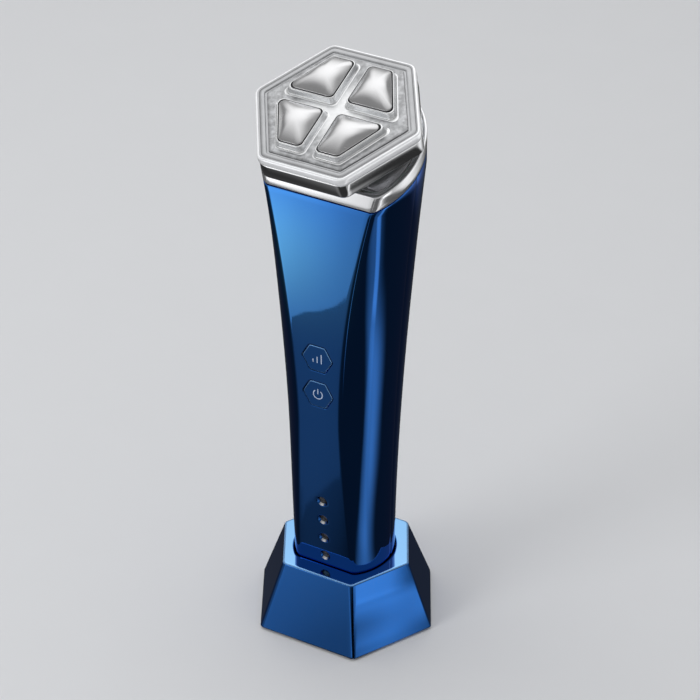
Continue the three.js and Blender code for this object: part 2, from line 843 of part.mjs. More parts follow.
// A cross plate of the chassis that reaches the wall of the handle
function crossRib(z, back) {
  const plate = gripSolid(z, z + ribThick, gripInside);
  return plate.intersect(block(-farOut, farOut, spineFront, back, z - over, z + ribThick + over));
}

function chassis() {
  const half = spineWidth / 2;
  const spine = block(-half, half, spineFront, spineBack, spineFootZ, spineTopZ);
  const cradleTop = batteryFootZ + batteryLength + batteryNubRise;
  const cradle = rod(batteryRadius + fitGap, 0, batteryY, spineFootZ, cradleTop, 32);
  const ribs = [ribFirstZ, ribSecondZ].map((z) => crossRib(z, batteryY - batteryRadius / 2));
  const clampBack = motorY + bootRadius + ribThick;
  const clampTop = bootLowZ + bootLength - clampInset - ribThick;
  const clamps = [bootLowZ + clampInset, clampTop].map((z) => {
    return crossRib(z, clampBack);
  });
  const hole = rod(bootRadius + fitGap, 0, motorY, bootLowZ, bootLowZ + bootLength, 32);
  return cut(join(spine, ...ribs, ...clamps), cradle, hole);
}

function battery() {
  const top = batteryFootZ + batteryLength;
  const can = rod(batteryRadius, 0, batteryY, batteryFootZ, top, 32);
  return join(can, rod(batteryNubRadius, 0, batteryY, top - over, top + batteryNubRise, 20));
}

function mainBoard() {
  const half = mainBoardWidth / 2;
  const board = block(-half, half, boardFront, boardBack, mainBoardFootZ, mainBoardTopZ);
  const sunk = boardFront + solderSunk;
  const edge = chipSize / 2;
  const chipFront = boardFront - chipThick;
  const chip = block(-edge, edge, chipFront, sunk, chipMiddleZ - edge, chipMiddleZ + edge);
  const side = plugWidth / 2;
  const plugLow = mainBoardTopZ - plugHeight;
  const plug = block(-side, side, boardFront - plugThick, sunk, plugLow, mainBoardTopZ);
  return join(board, chip, plug);
}

function motorCan() {
  const can = rod(motorRadius, 0, motorY, motorFootZ, motorTopZ, 28);
  const shaft = rod(motorShaftRadius, 0, motorY, motorTopZ - over, motorTopZ + motorShaftLength, 16);
  return join(can, shaft);
}

function motorBoot() {
  const top = bootLowZ + bootLength;
  const sleeve = rod(bootRadius, 0, motorY, bootLowZ, top, 32);
  return cut(sleeve, rod(motorRadius + snugGap, 0, motorY, bootLowZ - over, top + over, 28));
}

// The half disc that turns on the motor's shaft, drawn about its own axis
function motorWeight() {
  const disc = rod(weightRadius, 0, 0, 0, weightLength, 28);
  const hub = rod(motorShaftRadius + weightHubWall, 0, 0, 0, weightLength, 20);
  const halfDisc = disc.intersect(block(-farOut, farOut, 0, farOut, -over, weightLength + over));
  const bore = rod(motorShaftRadius + weightRunGap, 0, 0, -over, weightLength + over, 16);
  return cut(join(halfDisc, hub), bore);
}

// The flat cable from the main board through the neck into the head
function ribbonCable() {
  const front = boardFront - plugThick - fitGap - ribbonThick / 2;
  const high = fromHead(0, -headShift, ledBoardLow - fitGap);
  const low = fromHead(0, 0, dishLow - ribbonBend);
  const curve = new THREE.CatmullRomCurve3([
    new THREE.Vector3(0, front, mainBoardTopZ - plugHeight / 2),
    new THREE.Vector3(0, front, mainBoardTopZ + plugHeight),
    new THREE.Vector3(0, front, spineTopZ - plugHeight),
    new THREE.Vector3(0, (front + low.y) / 2, (spineTopZ + low.z) / 2 + ribbonBend),
    low,
    high,
  ]);
  const shape = new THREE.Shape();
  shape.moveTo(-ribbonThick / 2, -ribbonWidth / 2);
  shape.lineTo(ribbonThick / 2, -ribbonWidth / 2);
  shape.lineTo(ribbonThick / 2, ribbonWidth / 2);
  shape.lineTo(-ribbonThick / 2, ribbonWidth / 2);
  const options = { steps: 24, bevelEnabled: false, extrudePath: curve };
  return toSolid(new THREE.ExtrudeGeometry(shape, options));
}

// A button: its cap fills the hole, its flange stays behind the wall
function facetKey(z) {
  const face = -facetDepth(z);
  const wallBack = face + handleWall;
  const flangeFront = wallBack + fitGap;
  const flangeBack = flangeFront + buttonFlangeThick;
  const cap = keyColumn(buttonWidth, z, face + buttonEdge, flangeFront + snugGap);
  const crown = keyColumn(buttonWidth - 2 * buttonEdge, z, face, face + buttonEdge + snugGap);
  const flange = keyColumn(buttonWidth + 2 * buttonFlange, z, flangeFront, flangeBack);
  return join(cap, crown, flange);
}

const keyBack = (z) => -facetDepth(z) + handleWall + fitGap + buttonFlangeThick;
const switchFront = boardFront - snugGap - switchThick;

function tactSwitch(z) {
  const half = switchSize / 2;
  const body = block(-half, half, switchFront, boardFront - snugGap, z - half, z + half);
  const back = switchFront + plungerBuried + buttonTravel + fitGap;
  return cut(body, rodAlongY(plungerRadius + plungerRunGap, z, switchFront - over, back));
}

// The switch's own plunger, which the button pushes in
function switchPlunger(z) {
  return rodAlongY(plungerRadius, z, keyBack(z) + snugGap, switchFront + plungerBuried);
}

// An indicator light: a short pipe with a rounded end in the facet
function indicatorLight(z) {
  const face = -facetDepth(z) + lightRecess;
  const wallBack = -facetDepth(z) + handleWall + fitGap;
  const dome = lightRadius / 3;
  const profile = [[0, 0], [lightRadius * 0.5, 0.12 * dome], [lightRadius * 0.85, 0.5 * dome]];
  profile.push([lightRadius, dome], [lightRadius, wallBack - face]);
  profile.push([lightRadius + lightFlange, wallBack - face]);
  profile.push([lightRadius + lightFlange, wallBack - face + lightFlangeThick]);
  profile.push([0, wallBack - face + lightFlangeThick]);
  const points = profile.map(([radius, depth]) => new THREE.Vector2(radius, depth));
  const geometry = new THREE.LatheGeometry(points, 18);
  geometry.translate(0, face, z);
  return toSolid(geometry);
}

// Finishes, and how each piece is put into the scene
const finish = (color, metalness, roughness) => ({ color, metalness, roughness });
const bluePlate = finish(0x1d4fd6, 0.9, 0.14);
const chrome = finish(0xd6d9de, 1.0, 0.12);
const satin = finish(0xc9ccd2, 1.0, 0.25);
const blackPlastic = finish(0x17191d, 0.0, 0.5);
const greyPlastic = finish(0x8a8f96, 0.0, 0.45);
const clearPlastic = finish(0xe4ecf4, 0.0, 0.08);
const rubber = finish(0x101113, 0.0, 0.85);
const circuit = finish(0x1f5a38, 0.0, 0.5);
const brass = finish(0xc9a24a, 1.0, 0.25);
const steel = finish(0x9a9da1, 1.0, 0.35);

const massager = new THREE.Group();
const head = new THREE.Group();
head.position.copy(headOrigin);
head.rotation.x = headTurn;
const headTopGroup = new THREE.Group();
headTopGroup.position.set(0, headShift, 0);
head.add(headTopGroup);
massager.add(head);

function place(name, solid, look, parent = massager) {
  const mesh = new THREE.Mesh(toGeometry(solid), new THREE.MeshStandardMaterial(look));
  mesh.name = name;
  parent.add(mesh);
  return mesh;
}

place('stand_shell', standShell(), bluePlate);
place('stand_cup', standCup(), blackPlastic);
place('foot_pad', footPad(), rubber);
place('base_plate', basePlate(), blackPlastic);
place('ballast_plate', ballastPlate(), steel);
place('charging_board', chargeBoard(), circuit);
place('usb_socket', usbSocket(), steel);
bossSpots.forEach(([x, y], i) => place(`base_screw_${i + 1}`, baseScrew(x, y), steel));
place('pogo_barrel_left', pogoBarrel(-pogoX), brass);
place('pogo_barrel_right', pogoBarrel(pogoX), brass);
place('pogo_pin_left', pogoPin(-pogoX), brass);
place('pogo_pin_right', pogoPin(pogoX), brass);

place('front_shell', frontShell(), bluePlate);
place('rear_shell', rearShell(), bluePlate);
place('bottom_cap', bottomCap(), blackPlastic);
place('contact_pad_left', contactPad(-pogoX), brass);
place('contact_pad_right', contactPad(pogoX), brass);
place('collar', collar(), chrome);
place('neck_dish', neckDish(), blackPlastic);
place('chassis', chassis(), greyPlastic);
place('battery', battery(), greyPlastic);
place('main_board', mainBoard(), circuit);
place('ribbon_cable', ribbonCable(), brass);
place('motor_can', motorCan(), steel);
place('motor_boot', motorBoot(), rubber);
const weight = place('motor_weight', motorWeight(), steel);
weight.position.set(0, motorY, motorTopZ + weightRise);

place('level_button', facetKey(levelButtonZ), bluePlate);
place('power_button', facetKey(powerButtonZ), bluePlate);
place('level_plunger', switchPlunger(levelButtonZ), blackPlastic);
place('power_plunger', switchPlunger(powerButtonZ), blackPlastic);
place('level_switch', tactSwitch(levelButtonZ), blackPlastic);
place('power_switch', tactSwitch(powerButtonZ), blackPlastic);
lightSpots.forEach((z, i) => place(`indicator_light_${i + 1}`, indicatorLight(z), greyPlastic));

place('head_housing', headHousing(), chrome, headTopGroup);
place('light_plate', lightPlate(), clearPlastic, headTopGroup);
place('led_board', ledBoard(), circuit, headTopGroup);
quarters.forEach(([name, su, sv]) => {
  place(`electrode_${name}`, electrode(su, sv), satin, headTopGroup);
  place(`electrode_nut_${name}`, electrodeNut(su, sv), brass, headTopGroup);
});

export default massager;
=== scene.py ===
import math

import bmesh
import bpy
import numpy as np
from mathutils import Matrix, Vector


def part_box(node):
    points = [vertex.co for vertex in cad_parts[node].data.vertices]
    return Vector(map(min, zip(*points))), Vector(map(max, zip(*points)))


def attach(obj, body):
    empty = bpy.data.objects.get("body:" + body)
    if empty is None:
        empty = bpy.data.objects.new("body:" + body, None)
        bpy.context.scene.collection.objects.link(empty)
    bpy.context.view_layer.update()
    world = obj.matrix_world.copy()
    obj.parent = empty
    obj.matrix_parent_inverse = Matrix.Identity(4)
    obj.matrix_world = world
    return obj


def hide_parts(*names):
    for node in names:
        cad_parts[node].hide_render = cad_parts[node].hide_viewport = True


bl_info = {
    "name": "Facial Massager Looks",
    "version": (1, 0, 0),
    "blender": (4, 5, 0),
    "location": "View3D > Sidebar > Massager",
    "description": "Finished surfaces for a facial massager in its charging stand",
    "category": "Object",
}

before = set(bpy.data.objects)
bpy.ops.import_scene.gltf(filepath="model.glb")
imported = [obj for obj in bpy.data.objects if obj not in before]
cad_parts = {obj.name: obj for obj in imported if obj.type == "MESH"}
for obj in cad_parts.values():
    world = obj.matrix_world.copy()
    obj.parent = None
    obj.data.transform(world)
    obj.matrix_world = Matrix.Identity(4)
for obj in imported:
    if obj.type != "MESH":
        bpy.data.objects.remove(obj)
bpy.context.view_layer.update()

MM = 0.001
STAND_LOW, STAND_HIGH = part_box("stand_shell")


def length(label, text, default):
    """A size that a user may change, in metres."""
    return bpy.props.FloatProperty(name=label, description=text, default=default, unit="LENGTH", precision=5)


def number(label, text, default):
    return bpy.props.FloatProperty(name=label, description=text, default=default, precision=3)


def tint(label, text, default):
    return bpy.props.FloatVectorProperty(
        name=label, description=text, default=default, subtype="COLOR", size=3, min=0, max=1)


class StandSizes(bpy.types.PropertyGroup):
    """The six-sided stand."""
    foot_width: length("Foot width", "Point to point across the foot", 0.0700)
    foot_depth: length("Foot depth", "Flat to flat across the foot", (STAND_HIGH - STAND_LOW).y)
    foot_front: length("Foot front", "Length of the front edge at the foot", 0.0384)
    top_width: length("Top width", "Point to point across the top", 0.0508)
    top_depth: length("Top depth", "Flat to flat across the top", 0.0429)
    top_front: length("Top front", "Length of the front edge at the top", 0.0278)
    skirt: length("Skirt", "Height of the shell's lower edge over the table", STAND_LOW.z)
    top: length("Top", "Height of the top face", STAND_HIGH.z)
    wall: length("Wall", "Thickness of the shell", 0.0022)
    pocket_gap: length("Pocket gap", "Room round the handle in its pocket", 0.00035)


class HandleSizes(bpy.types.PropertyGroup):
    """The grip and its flat front face."""
    foot: length("Foot", "Height of the grip's lower end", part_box("front_shell")[0].z)
    low: length("Low level", "Where the grip starts to swell", 0.0270)
    high: length("High level", "Where the grip is widest", 0.1850)
    foot_radius: length("Foot radius", "Radius of the grip at its low level", 0.0179)
    head_radius: length("Head radius", "Radius of the grip at its high level", 0.0270)
    swell: number("Swell", "How late the grip widens, as a power", 1.76)
    waist: length("Waist height", "Where the flat face is narrowest", 0.0900)
    waist_half: length("Waist half width", "Half of the flat face at its waist", 0.0087)
    edge: length("Edge rounding", "Rounding between the flat face and the sides", 0.0013)
    wall: length("Wall", "Thickness of both shells", 0.0018)
    seam: length("Seam place", "Where the two shells meet, along Y", 0.0008)
    button_width: length("Button width", "Point to point across a button", 0.0116)
    button_round: length("Button rounding", "Rounding of a button's six corners", 0.0010)
    button_gap: length("Button gap", "Groove round each button", 0.0003)
    light_radius: length("Light radius", "Radius of the opening of an indicator light", 0.0019)
    light_edge: length("Light edge", "Width of the rounded edge round each light", 0.0002)
    light_depth: length("Light depth", "Depth of the bright sleeve that each lens sits in", 0.00070)


class HeadSizes(bpy.types.PropertyGroup):
    """The tilted collar, neck and head."""
    tilt: number("Tilt", "Degrees that the head leans to the front", 20.2)
    height: length("Neck height", "Height of the tilted plane on the axis", 0.1859)
    collar: length("Collar height", "Height of the bright collar", 0.0053)
    collar_wall: length("Collar wall", "Thickness of the collar", 0.0022)
    shift: length("Shift", "How far the head sits behind the neck's middle", 0.00185)
    corner: length("Corner reach", "Middle to point of the housing", 0.0306)
    corner_round: length("Corner rounding", "Rounding of the head's six corners", 0.0036)
    housing: length("Housing height", "Height of the bright housing", 0.0062)
    plate_side: length("Plate side", "Height of the plate's side", 0.0029)
    overhang: length("Overhang", "How far the plate stands out over the housing", 0.0003)
    lip: length("Lip", "Width of the plate's rim", 0.0033)
    pad: length("Pads", "Rise of the plate's pad round each electrode", 0.0025)
    dome: length("Dome", "Rise of an electrode over its pad", 0.0025)


class Finishes(bpy.types.PropertyGroup):
    """Colours and gloss."""
    blue: tint("Blue plating", "Colour of the plated shells", (0.003, 0.132, 0.510))
    # Painted highlight: the stand's top face is painted a paler blue than its sides
    top_blue: tint("Stand top", "Colour of the stand's top face, painted paler as a highlight", (0.28, 0.59, 0.98))
    # Painted highlight: paler blue painted high up on the flat face
    thin_blue: tint("Painted highlight", "Colour of the flat face near its top", (0.16, 0.60, 0.86))
    # Painted highlight: pale blue painted along the stand's upper edges and round the buttons' rims
    edge_blue: tint("Stand edges", "Colour of the painted highlight along the stand's upper edges", (0.24, 0.52, 0.95))
    chrome: tint("Chrome", "Colour of the housing", (0.80, 0.81, 0.83))
    satin: tint("Electrodes", "Colour of the electrodes", (0.80, 0.80, 0.81))
    frost: tint("Light plate", "Colour of the frosted plate", (0.66, 0.67, 0.69))
    print_grey: tint("Symbols", "Colour of the symbols on the buttons", (0.52, 0.61, 0.80))
    black: tint("Dark plastic", "Colour of the dark moulded parts", (0.018, 0.020, 0.024))
    gloss: number("Plating roughness", "Roughness of the plated shells", 0.045)


class StageSizes(bpy.types.PropertyGroup):
    """Floor, lamps and camera."""
    floor: tint("Floor", "Colour of the floor", (0.72, 0.73, 0.75))
    mat: number("Dark mat", "Brightness of the mat that only reflections show", 0.02)
    world: number("World", "Brightness of the surroundings near the horizon", 0.50)
    overhead: number("Overhead lamp", "Brightness of the lamp above", 1.6)
    card: number("Left card", "Brightness of the card that only reflections show", 1.12)
    lens: number("Lens", "Focal length for a 36 mm wide picture, in millimetres", 138.93)


def sizes(name):
    return getattr(bpy.context.scene, "massager_" + name)


# Meshes
def grid_faces(rows, cols, wrap_rows=False, wrap_cols=False):
    """Four-sided faces of a grid whose points are counted row by row."""
    index = np.arange(rows * cols).reshape(rows, cols)
    if wrap_rows:
        index = np.vstack([index, index[:1]])
    if wrap_cols:
        index = np.hstack([index, index[:, :1]])
    return np.stack([index[:-1, :-1], index[:-1, 1:], index[1:, 1:], index[1:, :-1]], -1).reshape(-1, 4)


def make_piece(name, points, faces, body, slot, finishes, replaced=(), zones=None, crease=32):
    """A piece from points in millimetres and lists of faces, closed and facing outwards."""
    mesh = bpy.data.meshes.new(name)
    mesh.from_pydata((np.asarray(points, float) * MM).tolist(), [], faces)
    if zones is not None:
        mesh.polygons.foreach_set("material_index", np.asarray(zones, np.int32))
    work = bmesh.new()
    work.from_mesh(mesh)
    bmesh.ops.recalc_face_normals(work, faces=work.faces)
    if work.calc_volume(signed=True) < 0:
        bmesh.ops.reverse_faces(work, faces=work.faces)
    work.to_mesh(mesh)
    work.free()
    mesh.validate()
    for finish in finishes:
        mesh.materials.append(finish())
    mesh.shade_smooth()
    mesh.set_sharp_from_angle(angle=math.radians(crease))
    piece = bpy.data.objects.new(name, mesh)
    bpy.context.scene.collection.objects.link(piece)
    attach(piece, body)
    if replaced:
        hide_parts(*replaced)


def stacked(rings, wrap=False):
    """Points and faces of rings laid on each other, closed at both ends by one face each, or end to end if it
    wraps."""
    rings = np.asarray(rings, float)
    levels, around = rings.shape[:2]
    faces = grid_faces(levels, around, wrap_rows=wrap, wrap_cols=True).tolist()
    if not wrap:
        last = (levels - 1) * around
        faces += [list(range(around))[::-1], list(range(last, last + around))]
    return rings.reshape(-1, 3), faces


def thickened(outer, inner, quads):
    """A sheet with two sides: the outer points, the inner points in the same order, and a wall along every
    edge that only one face uses."""
    count = len(outer)
    edges = np.concatenate([quads[:, [i, (i + 1) % 4]] for i in range(4)])
    rim = edges[~np.isin(edges[:, 0] * count + edges[:, 1], edges[:, 1] * count + edges[:, 0])]
    walls = np.stack([rim[:, 1], rim[:, 0], rim[:, 0] + count, rim[:, 1] + count], -1)
    return np.concatenate([outer, inner]), np.concatenate([quads, quads[:, ::-1] + count, walls]).tolist()


def joined(parts):
    """Several lists of points and faces as one."""
    points, faces, base = [], [], 0
    for part_points, part_faces in parts:
        points.append(part_points)
        faces += [[i + base for i in face] for face in part_faces]
        base += len(part_points)
    return np.concatenate(points), faces


# Outlines
def corner_ways(corners):
    """The corners, the way from each to the one before it, half of its angle, and the way that halves it."""
    corners = np.asarray(corners, float)
    before, after = np.roll(corners, 1, 0) - corners, np.roll(corners, -1, 0) - corners
    before /= np.linalg.norm(before, axis=1, keepdims=True)
    after /= np.linalg.norm(after, axis=1, keepdims=True)
    middle = before + after
    middle /= np.linalg.norm(middle, axis=1, keepdims=True)
    return corners, before, np.arccos(np.clip((before * after).sum(1), -1, 1)) / 2, middle


def rounded_polygon(corners, radius, steps=6):
    """Each corner, counted anticlockwise, becomes an arc of the radius that touches both of its sides."""
    corners, before, half, middle = corner_ways(corners)
    centre = corners + middle * (radius / np.sin(half))[:, None]
    start = corners + before * (radius / np.tan(half))[:, None] - centre
    turn = (math.pi - 2 * half)[:, None] * np.linspace(0, 1, steps + 1)[None]
    x = start[:, :1] * np.cos(turn) - start[:, 1:] * np.sin(turn)
    y = start[:, :1] * np.sin(turn) + start[:, 1:] * np.cos(turn)
    return (np.stack([x, y], -1) + centre[:, None]).reshape(-1, 2)


def moved_in(corners, distance):
    """The corners of the same polygon after each side has moved inwards by the distance."""
    corners, _, half, middle = corner_ways(corners)
    return corners + middle * (distance / np.sin(half))[:, None]


def resampled(loop, count=0, step=0.0):
    """A closed outline at even steps of its length, or with its own points kept and more between them, a step
    apart."""
    closed = np.vstack([loop, loop[:1]])
    travel = np.concatenate([[0], np.cumsum(np.linalg.norm(np.diff(closed, axis=0), axis=1))])
    if step:
        count = max(len(loop), int(travel[-1] / step))
    at = np.linspace(0, travel[-1], count, endpoint=False)
    if step:
        at = np.unique(np.concatenate([at, travel[:-1]]))
    return np.stack([np.interp(at, travel, closed[:, i]) for i in (0, 1)], -1)


def toward(loop, angle):
    """The point of a closed outline in each direction from the middle."""
    own = np.arctan2(loop[:, 1], loop[:, 0])
    return np.stack([np.interp(angle, own, loop[:, i], period=2 * math.pi) for i in (0, 1)], -1)


def flat_ring(outline, level):
    return np.column_stack([outline, np.full(len(outline), level)])


def circle(count):
    turn = np.arange(count) * 2 * math.pi / count
    return np.stack([np.cos(turn), np.sin(turn)], -1)


def hexagon(width):
    """Six corners of a regular hexagon with points at its left and right."""
    return circle(6) * width / 2


def quarter(steps):
    """Angles of a quarter turn, for a small round."""
    return np.linspace(0, math.pi / 2, steps)


def smooth(x):
    x = np.clip(x, 0, 1)
    return x * x * (3 - 2 * x)


# The grip's form: amounts in millimetres with the power of their curve, and counts of columns
FACET_FOOT, FACET_HEAD = (2.65, 1.15), (13.0, 1.86)
DEEP_LEVEL, DEEP = 130.0, 19.2
RISE_FOOT, RISE_HEAD = (4.1, 2.2), (2.3, 1.5)
CENTRE_FOOT, CENTRE_HEAD, CENTRE_LEVEL = -0.7, 0.8, 140.0
FACET_COLUMNS, EDGE_COLUMNS, SIDE_COLUMNS, BACK_COLUMNS = 16, 8, 22, 34
SEAM_COLUMN = FACET_COLUMNS + EDGE_COLUMNS + SIDE_COLUMNS
FLIP = np.array([-1.0, 1, 1])


def grip_numbers(z):
    """Radius, centre, and the flat face's half width and depth at each height. Each adds amounts that rise
    with a power of the share of the way between two levels."""
    s = sizes("handle")
    low, high, waist = s.low / MM, s.high / MM, s.waist / MM
    level = np.clip(z, low, high)

    def share(start, end):
        return np.clip((level - start) / (end - start), 0, 1)

    def power(curve, start, end):
        return curve[0] * share(start, end) ** curve[1]

    radius = (s.foot_radius + (s.head_radius - s.foot_radius) * share(low, high) ** s.swell) / MM
    centre = CENTRE_FOOT + (CENTRE_HEAD - CENTRE_FOOT) * share(low, CENTRE_LEVEL)
    half = s.waist_half / MM + power(FACET_FOOT, waist, low) + power(FACET_HEAD, waist, high)
    return radius, centre, half, DEEP - power(RISE_FOOT, DEEP_LEVEL, low) - power(RISE_HEAD, DEEP_LEVEL, high)


def flat_face(z):
    """Where the grip's flat face is along Y, at each height."""
    return -grip_numbers(np.asarray(z))[3]


def half_section(z, distance=0.0, seam=0.0):
    """Right half of the grip's outline, from the middle of the flat face to the middle of the back. It is
    straight over the flat face, bends over the edge as a parabola, and then follows a circle that is drawn
    out towards the edge."""
    s = sizes("handle")
    column = np.arange(SEAM_COLUMN + BACK_COLUMNS + 1)
    z = np.broadcast_to(z, np.broadcast_shapes(np.shape(z), column.shape)).astype(float)
    radius, centre, half, depth = grip_numbers(z)
    radius, depth, half = radius - distance, depth - distance, half - distance / 2
    edge = s.edge / MM
    corner_angle = np.arctan2(-depth - centre, half)
    corner_reach = np.hypot(half, depth + centre)

    def arc(angle):
        away = np.minimum(angle - corner_angle, math.pi - angle - corner_angle)
        reach = radius + (corner_reach - radius) * (1 - smooth(away / (math.pi / 4)))
        return reach * np.cos(angle), centre + reach * np.sin(angle)

    def along(start, count):
        return np.clip((column - start) / count, 0, 1)

    first = corner_angle + edge / corner_reach * 1.15
    seam_angle = np.arcsin(np.clip((s.seam / MM + seam - centre) / radius, -1, 1))
    on_side = along(FACET_COLUMNS + EDGE_COLUMNS, SIDE_COLUMNS)
    on_back = along(SEAM_COLUMN, BACK_COLUMNS)
    arc_x, arc_y = arc(first + (seam_angle - first) * on_side + (math.pi / 2 - seam_angle) * on_back)
    first_x, first_y = arc(first)
    bend = along(FACET_COLUMNS, EDGE_COLUMNS)
    start, pull, end = (1 - bend) ** 2, 2 * bend * (1 - bend), bend ** 2
    front_x = start * (half - edge) * along(0, FACET_COLUMNS) + pull * half + end * first_x
    front_y = (start + pull) * -depth + end * first_y
    front = column <= FACET_COLUMNS + EDGE_COLUMNS
    return np.stack([np.where(front, front_x, arc_x), np.where(front, front_y, arc_y), z], -1)


def whole_loop(right):
    """The right half and its left half as one closed loop."""
    return np.concatenate([right, right[..., -2:0:-1, :] * FLIP], -2)


def head_axes():
    tilt = math.radians(sizes("head").tilt)
    return math.cos(tilt), math.sin(tilt), np.array([0, CENTRE_HEAD, sizes("head").height / MM])


def from_head(points):
    """Points of the tilted frame in the row frame: a turn about X and a shift."""
    c, s, origin = head_axes()
    u, v, w = np.moveaxis(np.asarray(points, float), -1, 0)
    return np.stack([u, v * c - w * s, v * s + w * c], -1) + origin


def on_plane(level, distance=0.0):
    """The grip's outline on the tilted plane at a level. Height and outline are found in turns."""
    c, s, origin = head_axes()
    z = np.full(SEAM_COLUMN + BACK_COLUMNS + 1, origin[2])
    for _ in range(6):
        y = half_section(z, distance)[..., 1]
        z = origin[2] + (level + s * (y - origin[1])) / c
    return half_section(z, distance)


# Node trees
class Wire:
    """One output in a node tree. Sums, differences, products, quotients and powers add their Math nodes."""

    def __init__(self, recipe, socket):
        self.recipe, self.socket = recipe, socket

    def math(self, operation, *others):
        return self.recipe.add("ShaderNodeMath", {"operation": operation}, dict(enumerate([self, *others])))

    def __add__(self, other):
        return self.math("ADD", other)

    __radd__ = __add__

    def __mul__(self, other):
        return self.math("MULTIPLY", other)

    __rmul__ = __mul__

    def __sub__(self, other):
        return self.math("SUBTRACT", other)

    def __rsub__(self, other):
        return self * -1 + other

    def __truediv__(self, other):
        return self.math("DIVIDE", other)

    def __pow__(self, other):
        return self.math("POWER", other)

    def size(self):
        """The value without its sign."""
        return self.math("ABSOLUTE")

    def over(self, low, high):
        """0 below low, 1 above high, and a smooth rise between them."""
        return self.recipe.add("ShaderNodeMapRange", {"interpolation_type": "SMOOTHSTEP"}, {
            "Value": self, "From Min": low, "From Max": high})


class Recipe:
    """The node tree of a material, or of the world."""

    def __init__(self, name, world=False):
        self.owner = (bpy.data.worlds if world else bpy.data.materials).new(name)
        self.owner.use_nodes = True
        self.tree = self.owner.node_tree
        self.tree.nodes.clear()

    def add(self, kind, settings=None, inputs=None, out=0):
        """Adds a node: its settings are set first, then the values or links of its sockets."""
        node = self.tree.nodes.new(kind)
        for key, value in (settings or {}).items():
            setattr(node, key, value)
        for key, value in (inputs or {}).items():
            socket = node.inputs[key]
            if isinstance(value, Wire):
                self.tree.links.new(value.socket, socket)
            elif socket.type == "RGBA" and len(value) == 3:
                socket.default_value = (*value, 1)
            else:
                socket.default_value = value
        return Wire(self, node.outputs[out]) if len(node.outputs) else None

    def place(self, scale=(1, 1, 1), turn=(0, 0, 0), shift=(0, 0, 0)):
        """Object coordinates, moved, turned and stretched."""
        where = self.add("ShaderNodeTexCoord", out="Object")
        return self.add("ShaderNodeMapping", {"vector_type": "POINT"}, {
            "Vector": where, "Location": shift, "Rotation": turn, "Scale": scale})

    def axes(self, where=None, shift=(0, 0, 0)):
        """X, Y and Z of the object's own coordinates after a shift, or of another vector."""
        split = self.add("ShaderNodeSeparateXYZ", None, {0: where or self.place(shift=shift)})
        return [Wire(self, output) for output in split.socket.node.outputs]

    def noise(self, scale, detail=2.0, rough=0.5, stretch=(1, 1, 1), turn=(0, 0, 0)):
        return self.add("ShaderNodeTexNoise", {"noise_dimensions": "3D"}, {
            "Vector": self.place(stretch, turn), "Scale": scale, "Detail": detail, "Roughness": rough})

    def cells(self, scale):
        return self.add("ShaderNodeTexVoronoi", {"feature": "F1"}, {
            "Vector": self.place(), "Scale": scale}, out="Distance")

    def blend(self, share, first, second):
        """A colour between two colours."""
        return self.add("ShaderNodeMix", {"data_type": "RGBA"}, {"Factor": share, 6: first, 7: second}, out=2)

    def bump(self, height, distance, strength=1.0):
        return self.add("ShaderNodeBump", None, {
            "Height": height, "Distance": distance, "Strength": strength})

    def close(self, shader, output="ShaderNodeOutputMaterial"):
        self.add(output, None, {"Surface": shader})
        return self.owner

    def surface(self, colour, rough, metal=0.0, **more):
        """The shader. Colour, roughness, normal and glow may be wires. Other sockets hold plain values."""
        inputs = {"Base Color": colour, "Roughness": rough, "Metallic": metal}
        inputs.update({key.replace("_", " "): value for key, value in more.items()})
        return self.close(self.add("ShaderNodeBsdfPrincipled", None, inputs))

    def grained(self, grain, tones, gloss, metal=0.0, patches=None, relief=None, **more):
        """A surface between two tones that follow its grain, or wider patches. Its roughness is the grain
        times the first gloss value plus the second. Grain and patches are what noise takes, and relief is a
        height in metres and its strength."""
        marks = self.noise(*grain)
        if relief:
            more["Normal"] = self.bump(marks, *relief)
        share = self.noise(*patches) if patches else marks
        return self.surface(self.blend(share, *tones), marks * gloss[0] + gloss[1], metal, **more)

    def glow(self, colour):
        return self.close(self.add("ShaderNodeEmission", None, {"Color": colour, "Strength": 1.0}))


# Finishes
made = {}


def once(make):
    """Each finish is made the first time that it is asked for, from its own recipe and the chosen colours."""
    def ask():
        name = make.__name__
        if name not in made:
            made[name] = make(Recipe(name), sizes("finish"))
        return made[name]
    return ask


def shades(colour, low, high=1.0):
    """A darker and a paler shade of one colour."""
    return [[min(1, c * share) for c in colour] for share in (low, high)]


def plating(r, s, blue):
    """Mirror plating under clear lacquer: faint haze in patches, a fine ripple and slightly deeper colour in
    places. High up on the flat face a paler blue is painted in, a painted highlight."""
    haze = r.noise(160, 4, 0.6).over(0.5, 0.8)
    x, y, z = r.axes()
    # Painted highlight: the colour turns paler higher up on the flat face, and more so towards its left
    painted_highlight = z.over(0.115, 0.175) * (y * -1).over(0.0165, 0.0205) * (0.95 - x.over(-0.018, 0.014) * 0.62)
    colour = r.blend(r.noise(28, 3), *shades(blue, 0.92))
    return r.surface(
        r.blend(painted_highlight, colour, s.thin_blue), haze * 0.03 + s.gloss, 1.0, Specular_Tint=(0.25, 0.45, 0.85, 1),
        Coat_Weight=0.6, Coat_Roughness=0.03, Normal=r.bump(r.noise(420, 2), 0.000004, 0.35))


@once
def blue_plating(r, s):
    return plating(r, s, s.blue)


# Painted highlight: the stand's top face gets a paler blue than the sides, as if lit from above
@once
def top_plating(r, s):
    return plating(r, s, s.top_blue)


@once
def edge_plating(r, s):
    """Pale blue painted along the stand's upper edges and round the buttons' rims, a painted highlight."""
    return r.grained((160, 3), shades(s.edge_blue, 0.85), (0.1, 0.16), 0.75, Coat_Weight=0.5)


@once
def chrome_plating(r, s):
    """Bright chrome with the faintest wipe marks along X."""
    return r.grained((700, 3, 0.6, (0.15, 1, 1)), shades(s.chrome, 0.93), (0.07, 0.05), 1.0,
                     (60, 2), (0.000003, 0.4))


